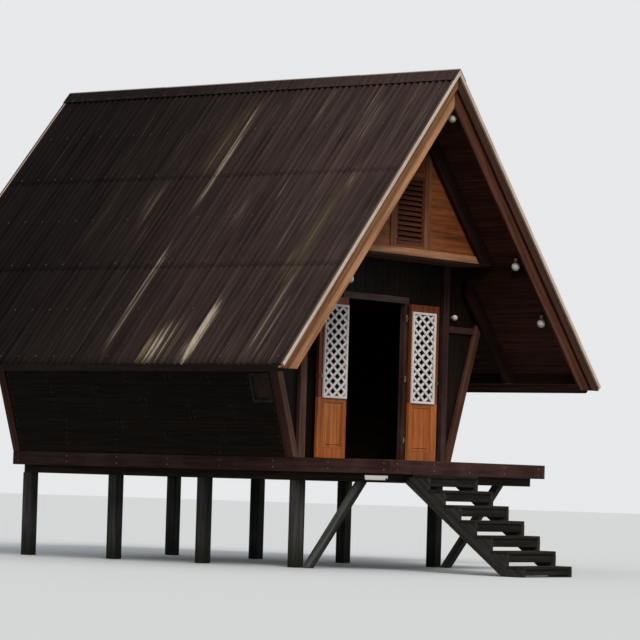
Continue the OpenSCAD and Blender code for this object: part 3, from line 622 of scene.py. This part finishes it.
# The gable is closed by honey-coloured boards laid level, between two pale posts that run up
# to the roof. A louvred shutter fills the middle, and a tie beam carries it all.
gable_board_w = 0.115
ceiling_board_w = 0.095
honey = timber_finish("honey_timber", (0.105, 0.027, 0.008), (0.33, 0.102, 0.033), 0.45, 0.06)
soffit = timber_finish("soffit_boards", (0.033, 0.0132, 0.01), (0.134, 0.054, 0.04),
                       tone_spread=0.45, shine=0.08)
boarding("gable_wall", honey, Z_AXIS, X_AXIS, gable_board_w)
nailed("gable_nails", boards_of("gable_wall", Z_AXIS, gable_board_w), -Y_AXIS, "gable_wall",
       spacing=0.5, inset=0.03, radius=0.003, height=0.0008)
own_timber("gable_posts", 0.004, (0.105, 0.037, 0.016), (0.300, 0.118, 0.054), 0.5, tone_spread=0.2)
own_timber("gable_beams", 0.005, (0.26, 0.112, 0.05), (0.600, 0.31, 0.165), 0.5, tone_spread=0.1)
own_timber("gable_shutter", 0.002, (0.04, 0.013, 0.0064), (0.15, 0.052, 0.026), 0.5, X_AXIS)
boarding("porch_ceiling", soffit, Y_AXIS, X_AXIS, ceiling_board_w)

# The roof is framed with pairs of rafters and level battens, closed underneath by boards that
# run the length of the house, with a purlin along each side under the boards.
pitch = math.radians(48)
hands = ((-1, "left"), (1, "right"))
lining_board_w = 0.11
lining_board_l = 3.1
roof_timber = timber_finish("roof_timber", (0.055, 0.03, 0.018), (0.18, 0.11, 0.066), 0.75)
# Purlins and eave boards are dark timber made near black to paint the deep shade under the eaves.
shaded_purlin_finish = timber_finish("soffit_purlins", (0.007, 0.0032, 0.0024), (0.03, 0.013, 0.0092),
                              tone_spread=0.3, shine=0.08)


def down_slope(side):
    return Vector((side * math.cos(pitch), 0, -math.sin(pitch)))


def off_slope(side):
    return Vector((side * math.sin(pitch), 0, math.cos(pitch)))


for node, finish, ease in (("rafters", roof_timber, 0.003), ("roof_battens", roof_timber, 0.003),
                           ("soffit_purlins", shaded_purlin_finish, 0.004),
                           ("eave_boards", shaded_purlin_finish, 0.004)):
    eased_timber(node, finish, ease)
for side, hand in hands:
    boarding("lining_" + hand, soffit, down_slope(side), Y_AXIS, lining_board_w, butt=lining_board_l)

# The verge carries three boards: a cream-painted trim that caps the sheets, an upper barge
# board stained red-brown and, set back behind it, a lower one of oiled light timber. Both are
# nailed to the rafters. On the right-hand slope both barge boards take a darker copy of their
# finish as painted shade.
trim_top_finish = timber_finish("verge_top", (0.04, 0.027, 0.021), (0.13, 0.094, 0.072), 0.8,
                                stain=((0.20, 0.17, 0.13), 0.4))
trims = own_timber("verge_trims", 0.004, (0.72, 0.56, 0.45), (0.92, 0.79, 0.67), tone_spread=0.1,
                   stain=((0.46, 0.30, 0.20), 0.45), relief=0.4)
second_finish(trims, trim_top_finish, lambda face: face.normal.z > 0.25 and abs(face.normal.y) < 0.5)
for node, lit_side, damp_and_shade in (
        ("barge_upper", ((0.14, 0.05, 0.0185), (0.37, 0.165, 0.07)),
         ((0.024, 0.009, 0.005), (0.085, 0.034, 0.019))),
        ("barge_lower", ((0.33, 0.135, 0.055), (0.69, 0.36, 0.185)),
         ((0.044, 0.013, 0.0062), (0.15, 0.052, 0.027)))):
    # The darker finish for the right-hand boards is painted shade.
    shaded_finish = timber_finish(node + "_shaded", *damp_and_shade, tone_spread=0.2)
    barge = own_timber(node, 0.005, *lit_side, 0.55, tone_spread=0.2)
    second_finish(barge, shaded_finish, lambda face: face.center.x > 0)
    for facing, name in ((-Y_AXIS, "_nails_front"), (Y_AXIS, "_nails_back")):
        nailed(node + name, solid_of(node), facing, "barge_upper", spacing=0.62, inset=0.16,
               rows=(0.3, 0.7))

# The roof covering is corrugated bitumen-fibre sheet, dark brown and matt, laid in three
# courses from the eave up, each sheet lapping its neighbour by a wave and the course below by
# a hand's width. Rain has left pale lichen and yellow-green growth in lines down the waves.
wave_w = 6.3358 / 66.25
sheet_t = 0.006
wave_h = 0.03
ridge_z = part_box("verge_trims")[1].z
slope_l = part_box("verge_trims")[1].x / math.cos(pitch)
roof_front, roof_back = [corner.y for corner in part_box("roof_sheet_left")]
sheet_waves = 10
course_count = 3
course_lap = 0.15
points_a_wave = 10
rows_a_sheet = 14
top_start = 0.02
side_lap_lift = 0.001
course_lap_lift = 0.0006
streak_fade = 0.35
streak_end = 5.08
# Each streak: distance behind the roof's front edge, start and end down the slope, width in
# waves, how pale, how green.
left_streaks = [
    (2.88, 0.45, 2.40, 0.9, 0.55, 0.25), (2.74, 2.50, 3.10, 0.7, 0.30, 0.2),
    (2.86, 3.10, 4.75, 0.8, 0.65, 0.1), (3.60, 1.85, 2.60, 0.9, 0.50, 0.1),
    (3.72, 1.95, 2.35, 1.0, 0.25, 0.1), (1.51, 4.05, 5.08, 1.6, 1.00, 0.1),
    (1.62, 4.60, 5.08, 1.0, 0.45, 0.5), (2.07, 4.45, 5.08, 1.4, 0.95, 0.2),
    (1.95, 4.30, 5.08, 0.8, 0.60, 0.5), (1.84, 4.30, 5.08, 0.8, 0.50, 0.6),
    (2.20, 4.55, 5.08, 1.6, 0.55, 0.9), (0.74, 1.90, 3.70, 2.6, 0.32, 0.95),
    (0.66, 1.70, 2.20, 0.8, 0.55, 0.5), (0.83, 2.90, 3.50, 1.0, 0.50, 0.7),
    (0.64, 3.55, 4.85, 0.9, 0.45, 0.3), (0.52, 4.10, 5.05, 0.7, 0.30, 0.2),
    (3.05, 0.45, 1.70, 3.2, 0.20, 0.9), (2.60, 0.30, 1.30, 1.0, 0.22, 0.5),
    (1.05, 0.15, 2.30, 0.9, 0.22, 0.3), (0.46, 0.15, 1.40, 0.8, 0.28, 0.2),
    (2.09, 2.20, 2.70, 1.2, 0.35, 0.2), (1.57, 3.45, 4.15, 0.8, 0.22, 0.2),
    (1.64, 1.90, 2.30, 1.0, 0.25, 0.1), (0.20, 3.00, 3.45, 0.8, 0.40, 0.2),
    (1.36, 0.30, 1.90, 0.8, 0.18, 0.2), (1.80, 0.10, 0.90, 0.9, 0.25, 0.3),
    (2.30, 0.20, 1.50, 0.9, 0.20, 0.2), (0.95, 0.40, 1.30, 0.8, 0.25, 0.3),
    (4.35, 1.60, 3.00, 0.9, 0.15, 0.3), (3.30, 3.40, 4.60, 0.8, 0.20, 0.2),
    (1.20, 4.20, 5.05, 0.7, 0.25, 0.3), (0.95, 4.50, 5.05, 0.7, 0.22, 0.2),
]


def right_streaks():
    """The far slope weathers in the same way, in other places."""
    dice = random.Random("far slope")
    made = []
    for number in range(26):
        start = dice.uniform(0.1, 4.2)
        made.append((dice.uniform(0.3, 6.0), start, min(streak_end, start + dice.uniform(0.6, 2.4)),
                     dice.uniform(0.6, 1.5), dice.uniform(0.15, 0.65), dice.uniform(0.1, 0.9)))
    return made


def growth_at(streaks, back, down):
    """How pale and how green the growth is at one point of the slope."""
    pale_there, green_there = 0.0, 0.0
    for place, start, end, waves, pale_peak, green_share in streaks:
        aside = abs(back - place) / (waves * wave_w * 0.6)
        if aside < 1.0 and start - 0.15 < down < end + 0.15:
            fade_in = min(1.0, max(0.0, (down - start + 0.15) / streak_fade))
            fade_out = min(1.0, max(0.0, (end + 0.15 - down) / streak_fade))
            strength = pale_peak * fade_in * fade_out * (1.0 - aside ** 2)
            if strength > pale_there:
                pale_there, green_there = strength, green_share
    return pale_there, green_there


def corrugated_sheets(side, hand, streaks):
    """All the sheets of one slope, each a closed wavy sheet of its own."""
    bm = bmesh.new()
    grain = bm.loops.layers.uv.new("grain")
    tone = bm.loops.layers.uv.new("tone")
    growth = bm.verts.layers.float_color.new("growth")
    dice = random.Random("sheets_" + hand)
    course_l = (slope_l - top_start + (course_count - 1) * course_lap) / course_count
    sheet_count = math.ceil((roof_back - roof_front) / ((sheet_waves - 1) * wave_w))
    for index in range(course_count * sheet_count):
        course, number = divmod(index, sheet_count)
        u1 = slope_l - course * (course_l - course_lap)
        u0 = max(top_start, u1 - course_l)
        y0 = roof_front + number * (sheet_waves - 1) * wave_w
        y1 = min(roof_back, y0 + sheet_waves * wave_w)
        columns = round((y1 - y0) / wave_w * points_a_wave)
        shade = (dice.random(), dice.random())
        drop = dice.uniform(-0.002, 0.0) if course else 0.0
        laid, tops, unders = {}, [], []
        for row in range(rows_a_sheet + 1):
            part = row / rows_a_sheet
            u = u0 + (u1 + drop - u0) * part
            lift = side_lap_lift * (number % 2) + (course_lap_lift * part if course else 0.0)
            tops.append([])
            for column in range(columns + 1):
                y = y0 + (y1 - y0) * column / columns
                wave = 0.5 - 0.5 * math.cos(math.tau * (y - roof_front) / wave_w + math.pi)
                depth = wave_h * (1 - wave) - lift
                place = Vector((0, y, ridge_z)) + down_slope(side) * u
                vert = bm.verts.new(place - off_slope(side) * depth)
                vert[growth] = (*growth_at(streaks, y - roof_front + 0.03, u), 0, 1)
                laid[vert] = (u, y)
                tops[row].append(vert)
                if row in (0, rows_a_sheet):
                    under = bm.verts.new(place - off_slope(side) * (depth + sheet_t))
                    under[growth] = vert[growth]
                    laid[under] = (u, y)
                    unders.append(under)
        quads = []
        for upper, lower in zip(tops, tops[1:]):
            quads += [(upper[i], upper[i + 1], lower[i + 1], lower[i]) for i in range(columns)]
        top_count = len(quads)
        upper, lower = unders[:columns + 1], unders[columns + 1:]
        for i in range(columns):
            quads.append((lower[i], lower[i + 1], upper[i + 1], upper[i]))
            quads.append((tops[0][i + 1], tops[0][i], upper[i], upper[i + 1]))
            quads.append((tops[-1][i], tops[-1][i + 1], lower[i + 1], lower[i]))
        for order, corners in enumerate(quads):
            face = bm.faces.new(corners)
            face.smooth = order < top_count
            for loop in face.loops:
                loop[grain].uv = laid[loop.vert]
                loop[tone].uv = shade
        for column in (0, columns):
            bm.faces.new([line[column] for line in tops] + [lower[column], upper[column]])
    made_of(bm, "sheets_" + hand, sheeting, "roof_sheet_" + hand)


def sheeting_finish(name, valley_shade=0.2, pale_top=False):
    """Matt dark brown sheet with fine run marks, thin lines of growth, painted shade in the waves
    and a darker far end and eave. The fold of the ridge is painted paler."""
    material, tree, surface = new_finish(name)
    place = laid_out(tree, "grain")
    down, back = parts_of(place)[:2]
    tone = parts_of(laid_out(tree, "tone"))
    growth = new_node(tree, "Attribute", attribute_name="growth").outputs["Color"]
    grown, green = new_node(tree, "SeparateColor", {0: growth}).outputs[:2]
    run = noise(place, (0.35, 16.0), 6.0, 0.7)
    thin_run = noise(place, (0.9, 110.0), 3.0, 0.6)
    patches = noise(place, (0.8, 1.1), 5.0, 0.6)
    specks = noise(place, 160.0, 3.0, 0.7)
    colour = blend(ramp(run, 0.34, 0.66), (0.016, 0.0098, 0.0092), (0.047, 0.0295, 0.0265))
    colour = blend(ramp(patches, 0.42, 0.62, 0.0, 0.5), colour, (0.04, 0.024, 0.022))
    colour = blend(ramp(thin_run, 0.54, 0.74, 0.0, 0.6), colour, (0.100, 0.076, 0.06))
    colour = blend(ramp(specks, 0.62, 0.78, 0.0, 0.25), colour, (0.10, 0.085, 0.072))
    # The colour is darker towards the far end of the roof and towards the eave.
    value = times(times(tone[0], 0.14, 0.93), ramp(back, -2.0, 3.1, 1.32, 0.20))
    value = times(value, ramp(down, 0.6, 5.0, 1.08, 0.78))
    # Painted shade: the colour is darker down in each wave's valley.
    crest = maths("COSINE", times(maths("SUBTRACT", back, roof_front), math.tau / wave_w))
    value = times(value, times(crest, valley_shade, 1.0 - valley_shade * 0.4))
    colour = toned(colour, value)
    ragged = noise(place, (1.2, 30.0), 4.0, 0.65)
    film = times(maths("MINIMUM", grown, 0.48), ramp(ragged, 0.35, 0.60, 0.35, 1.0))
    colour = blend(film, colour, blend(green, (0.12, 0.092, 0.07), (0.105, 0.083, 0.04)))
    line = times(grown, 0.29, noise(place, (0.55, 52.0), 3.0, 0.55))
    worn = times(ramp(line, 0.62, 0.75), times(grown, 0.9, 0.25))
    worn = times(worn, ramp(noise(place, (9.0, 90.0), 3.0, 0.7), 0.30, 0.60, 0.5, 1.1))
    worn = maths("MINIMUM", times(worn, ramp(value, 0.3, 0.9, 0.35, 1.0)), 1.0)
    colour = blend(worn, colour, blend(green, (0.44, 0.37, 0.29), (0.19, 0.155, 0.078)))
    if pale_top:
        # The colour is paler along the fold of the ridge.
        pale_fold = ramp(times(specks, 0.012, down), 0.016, 0.028, 0.9, 0.0)
        colour = blend(pale_fold, colour, (0.36, 0.32, 0.26))
    height = maths("ADD", specks, times(worn, 1.2))
    feed(surface, {"Base Color": colour, "Roughness": ramp(run, 0.3, 0.7, 0.85, 0.7),
                   "Specular IOR Level": 0.06, "Normal": relief_of(height, 0.4, 0.0015)})
    return material


sheeting = sheeting_finish("roof_sheeting")
corrugated_sheets(-1, "left", left_streaks)
corrugated_sheets(1, "right", right_streaks())

# Each sheet is held by capped nails, driven through the crest of every third wave into the
# battens below. Their caps are steel, painted brown and dull.
cap_finish = steel_finish("sheet_nails", (0.03, 0.024, 0.021), (0.085, 0.07, 0.06), 0.3, 0.6)
cap_r = 0.011
cap_rise = 0.005
nail_every = 3
ridge_line = Vector((0, 0, ridge_z))
battens = solid_of("roof_battens")
batten_pieces = islands_of(battens)
for side, hand in hands:
    caps = []
    for piece in batten_pieces:
        middle = sum((vert.co for vert in piece), Vector()) / len(piece)
        if middle.x * side > 0:
            u = (middle - ridge_line).dot(down_slope(side))
            crest = 1
            while roof_front + crest * wave_w < roof_back - 0.02:
                crest_line = Vector((0, roof_front + crest * wave_w, ridge_z))
                caps.append(crest_line + down_slope(side) * u + off_slope(side) * 0.002)
                crest += nail_every
    round_heads("sheet_nails_" + hand, caps, off_slope(side), cap_r, cap_rise, cap_finish,
                "roof_sheet_" + hand)

# The ridge is capped by folded metal in the roof's own brown, in four lengths that lap by a
# hand's width and are nailed through both wings.
ridge_finish = sheeting_finish("ridge_metal", valley_shade=0.0, pale_top=True)
ridge_low, ridge_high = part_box("ridge_cap")
ridge_count = 4
ridge_step = (ridge_high.y - ridge_low.y) / ridge_count
ridge_lap = 0.06
ridge_lift = 0.0018
nails_a_length = 5
nail_in = 0.03
ridge_bm = bmesh.new()
for number in range(ridge_count):
    length = solid_of("ridge_cap")
    start = ridge_low.y + number * ridge_step
    if number:
        sawn_off(length, Y_AXIS * (start - ridge_lap), Y_AXIS)
    if number < ridge_count - 1:
        sawn_off(length, Y_AXIS * (start + ridge_step + ridge_lap), -Y_AXIS)
    put_into(ridge_bm, length, Z_AXIS * (ridge_lift * (number % 2)))
ridge_grain = ridge_bm.loops.layers.uv.new("grain")
ridge_tone = ridge_bm.loops.layers.uv.new("tone")
for face in ridge_bm.faces:
    for loop in face.loops:
        fall = math.hypot(loop.vert.co.x, ridge_high.z - loop.vert.co.z)
        loop[ridge_grain].uv = (fall, loop.vert.co.y)
        loop[ridge_tone].uv = (0.5, 0.5)
made_of(ridge_bm, "ridge_lengths", ridge_finish, "ridge_cap", 0.0015)
whole_cap = solid_of("ridge_cap")
for side, hand in hands:
    edge = reach_of(whole_cap.verts, down_slope(side))[1]
    top = reach_of(whole_cap.verts, off_slope(side))[1]
    nails = []
    for number in range(ridge_count * nails_a_length):
        back = ridge_low.y + (number + 0.5) * ridge_step / nails_a_length
        nails.append(down_slope(side) * (edge - nail_in) + off_slope(side) * top + Y_AXIS * back)
    round_heads("ridge_nails_" + hand, nails, off_slope(side), 0.01, 0.004, cap_finish, "ridge_cap")

# Each hanging lamp is an opal glass globe in a turned holder on a short stem. One more globe
# sits on the wall, and a plain batten light is screwed under the landing.
opal = timber_finish("lamp_globe", (0.66, 0.58, 0.52), (0.90, 0.85, 0.80), 0.3, relief=0.05,
                     rings=6.0, tone_spread=0.15, shine=0.4)
lit_tube = timber_finish("lamp_tube", (0.84, 0.82, 0.79), (0.92, 0.90, 0.87), 0.4, relief=0.05,
                         rings=4.0, tone_spread=0.05, shine=0.3)
feed(lit_tube.node_tree.nodes["Principled BSDF"],
     {"Emission Color": (1.0, 0.97, 0.92), "Emission Strength": 0.35})
holder_finish = steel_finish("lamp_holder", (0.16, 0.14, 0.12), (0.34, 0.31, 0.28), 0.4, 0.45)
base_t = 0.014
tube_r = 0.0125
tube_in = 0.012
cap_l = 0.012
neck_share = 0.55


def box_in(bm, space, low_corner, high_corner):
    """Adds a box between two corners that are given in a space of their own."""
    bmesh.ops.create_cube(bm, size=1.0, matrix=space @ Matrix.LocRotScale(
        (low_corner + high_corner) / 2, None, high_corner - low_corner))


globe_bm, holder_bm, batten_bm = bmesh.new(), bmesh.new(), bmesh.new()
lamp_solids = solid_of("lamps")
for piece in islands_of(lamp_solids):
    low_corner, high_corner = corners_of(piece)
    # The batten light's solid is a plain box, with far fewer vertices than a globe.
    if len(piece) < 20:
        base = Vector((high_corner.x - base_t, low_corner.y, low_corner.z + 0.02))
        box_in(batten_bm, Matrix(), base, high_corner)
        middle = low_corner + Vector((0.013, tube_in, 0.016))
        length = high_corner.y - low_corner.y - 2 * tube_in
        turned(batten_bm, middle, Y_AXIS, [(0.0, tube_r), (length, tube_r)])
        for end in (0.0, length):
            turned(holder_bm, middle + Y_AXIS * (end - cap_l / 2), Y_AXIS, [(0, 0.013), (cap_l, 0.013)])
        continue
    radius = (high_corner.x - low_corner.x) / 2
    hanging = high_corner.z - low_corner.z > 2.2 * radius
    toward = Z_AXIS if hanging else Y_AXIS
    foot = (low_corner + high_corner) / 2
    foot = foot - toward * (foot - low_corner).dot(toward)
    length = (high_corner - low_corner).dot(toward)
    outline = [(0.0, radius * 0.05)]
    for number in range(1, 12):
        angle = math.pi * 0.80 * number / 11
        outline.append((radius - radius * math.cos(angle), radius * math.sin(angle)))
    turned(globe_bm, foot, toward, outline, 24)
    neck = radius * neck_share
    start = outline[-1][0] - 0.004
    turned(holder_bm, foot, toward, [(start, neck), (start + 0.008, neck), (start + 0.01, neck * 0.85),
                                     (length - 0.012, neck * 0.80), (length - 0.01, neck), (length, neck)])
grain_along(globe_bm, "lamp globes", Z_AXIS)
grain_along(batten_bm, "batten light", Y_AXIS)
for bm, name, finish in ((batten_bm, "batten_light", lit_tube), (globe_bm, "lamp_globes", opal),
                         (holder_bm, "lamp_holders", holder_finish)):
    made_of(bm, name, finish, "lamps")

# The hinges and knobs are satin steel. Each hinge plate is held to the jamb by two countersunk
# screws, and the strap on the leaf turns on its pin.
steel = steel_finish("hinge_steel", (0.13, 0.115, 0.10), (0.30, 0.28, 0.25), 1.0, 0.45)
screw_in = 0.012
screw_rises = (0.013, 0.067)


def rounded_steel(bm, node):
    """A steel fitting with smooth turned parts and crisp arrises, in place of its CAD node."""
    piece = made_of(bm, node + "_steel", steel, node)
    for face in piece.data.polygons:
        face.use_smooth = True
    piece.data.set_sharp_from_angle(angle=math.radians(30))


rounded_steel(solid_of("hinge_plates"), "hinge_plates")
hinge_screws = []
plates = solid_of("hinge_plates")
for piece in islands_of(plates):
    low_corner, high_corner = corners_of(piece)
    outer = max(low_corner.x, high_corner.x, key=abs)
    for rise in screw_rises:
        hinge_screws.append(Vector((outer - math.copysign(screw_in, outer), high_corner.y - 0.003,
                                    low_corner.z + rise)))
round_heads("hinge_screws", hinge_screws, -Y_AXIS, 0.0035, 0.0008, steel, "hinge_plates")

# Each door leaf is orange teak, stiles and rails tenoned round a raised panel with a bead on all
# sides. A white lattice of crossed laths in a thin frame is planted over the opening above.
teak = timber_finish("door_teak", (0.255, 0.056, 0.006), (0.56, 0.158, 0.021), 0.42, 0.08,
                     tone_spread=0.25, shine=0.2)
# A darker red copy of the teak for the upper frame: painted shade from the roof over the porch.
shaded_teak = timber_finish("door_teak_shaded", (0.09, 0.0165, 0.005), (0.25, 0.058, 0.0165), 0.45, 0.05,
                         tone_spread=0.25, shine=0.2)
white_paint = timber_finish("lattice_paint", (0.84, 0.77, 0.76), (0.93, 0.88, 0.87), 0.5,
                            tone_spread=0.06, relief=0.15, shine=0.25)
open_angle = math.radians(179)
pin_x = 0.63
pin_y = -1.077
face_in = 0.052
leaf_foot = 1.339
hinge_edge = 0.031
meeting_edge = 0.625
hinge_stile = 0.07
meeting_stile = 0.13
shade_from = 0.735
lattice_lap = 0.046
lattice_border = 0.028
lattice_t = 0.024
lath_w = 0.034
lath_t = lattice_t * 0.45
lattice_low = 0.732
lattice_high = 1.886
lattice_columns = 2.5
lattice_rows = 9
bead_w = 0.016
bead_t = 0.009
bead_low = 0.12
bead_high = 0.692
strap_z = 0.012
strap_thinner = 0.0004


def leaf_space(side):
    """The leaf's own axes: from the hinge pin to the other edge, up, and out of its inner face."""
    sign = 1 if side == "right" else -1
    turn = Matrix.Rotation(sign * open_angle, 3, "Z")
    axes = Matrix((turn @ Vector((-sign, 0, 0)), Z_AXIS, turn @ Y_AXIS)).transposed().to_4x4()
    return Matrix.Translation((sign * pin_x, pin_y, leaf_foot)) @ axes


def border_in(bm, space, low, high, width, lap=0.0):
    """Four strips just inside two corners. The level ones run into the upright ones by lap."""
    for x in (low.x, high.x - width):
        box_in(bm, space, Vector((x, low.y, low.z)), Vector((x + width, high.y, high.z)))
    start, end = low.x + width - lap, high.x - width + lap
    for y in (low.y, high.y - width):
        box_in(bm, space, Vector((start, y, low.z)), Vector((end, y + width, high.z)))


def lattice_of(space):
    """Laths in two layers, each sawn off inside the border, and the border's four strips."""
    left_edge = hinge_edge + hinge_stile - lattice_lap
    right_edge = meeting_edge - meeting_stile + lattice_lap
    border = Vector((lattice_border, lattice_border, 0))
    low_in = Vector((left_edge, lattice_low, 0)) + border
    high_in = Vector((right_edge, lattice_high, 0)) - border
    cell = Vector(((high_in - low_in).x / lattice_columns, (high_in - low_in).y / lattice_rows, 0))
    whole = bmesh.new()
    for layer, slope in ((0, 1), (1, -1)):
        run = Vector((cell.x, slope * cell.y, 0)).normalized()
        aside = Vector((-run.y, run.x, 0))
        lath_axes = Matrix((run, aside, Z_AXIS)).transposed().to_4x4()
        first = -lattice_rows - 1 if slope > 0 else 0
        for number in range(first, first + math.ceil(lattice_rows + lattice_columns) + 2):
            middle = low_in + Vector(((number + 0.5) * cell.x, 0, face_in + layer * lath_t))
            lath = bmesh.new()
            box_in(lath, space @ Matrix.Translation(middle) @ lath_axes,
                   Vector((-3, -lath_w / 2, 0.001)), Vector((3, lath_w / 2, lath_t)))
            for corner, keep in ((low_in, X_AXIS), (low_in, Y_AXIS), (high_in, -X_AXIS), (high_in, -Y_AXIS)):
                sawn_off(lath, space @ (corner - keep * 0.006), space.to_3x3() @ keep)
            put_into(whole, lath)
    border_in(whole, space, low_in - border + Z_AXIS * (face_in + 0.0005),
              high_in + border + Z_AXIS * (face_in + lattice_t), lattice_border)
    return whole


for side in ("left", "right"):
    space = leaf_space(side)
    turned_axes = space.to_3x3()
    leaf = side + "_leaf"
    joinery = bmesh.new()
    cuts = (hinge_edge + hinge_stile, meeting_edge - meeting_stile)
    for number in range(3):
        part = solid_of(leaf + "_frame")
        if number > 0:
            sawn_off(part, space @ Vector((cuts[number - 1], 0, 0)), turned_axes @ X_AXIS)
        if number < 2:
            sawn_off(part, space @ Vector((cuts[number], 0, 0)), turned_axes @ -X_AXIS)
        put_into(joinery, part)
    grain_along(joinery, side + " frame")
    # The frame is cut at a height, and above it takes the darker teak that paints the shade under the roof.
    bmesh.ops.bisect_plane(joinery, geom=joinery.verts[:] + joinery.edges[:] + joinery.faces[:],
                           plane_co=Z_AXIS * (leaf_foot + shade_from), plane_no=Z_AXIS)
    framing = made_of(joinery, leaf + "_joinery", teak, leaf + "_frame", 0.003)
    second_finish(framing, shaded_teak, lambda face: face.center.z > leaf_foot + shade_from)
    eased_timber(leaf + "_panel", teak, 0.004, Z_AXIS)
    bead = bmesh.new()
    for depth in (0.04, 0.015):
        border_in(bead, space, Vector((cuts[0], bead_low, depth)),
                  Vector((cuts[1], bead_high, depth + bead_t)), bead_w, lap=bead_w)
    grain_along(bead, side + " bead")
    made_of(bead, side + "_panel_beads", teak, leaf + "_panel", 0.004, instead=False)
    fittings = solid_of(leaf + "_hardware")
    for vert in fittings.verts:
        local = space.inverted() @ vert.co
        if abs(local.z - strap_z) < 0.0002 and local.x < 0.08:
            vert.co -= (turned_axes @ Z_AXIS) * strap_thinner
    rounded_steel(fittings, leaf + "_hardware")
    lattice = lattice_of(space)
    grain_along(lattice, side + " lattice")
    made_of(lattice, leaf + "_laths", white_paint, leaf + "_lattice", 0.0015, 1)
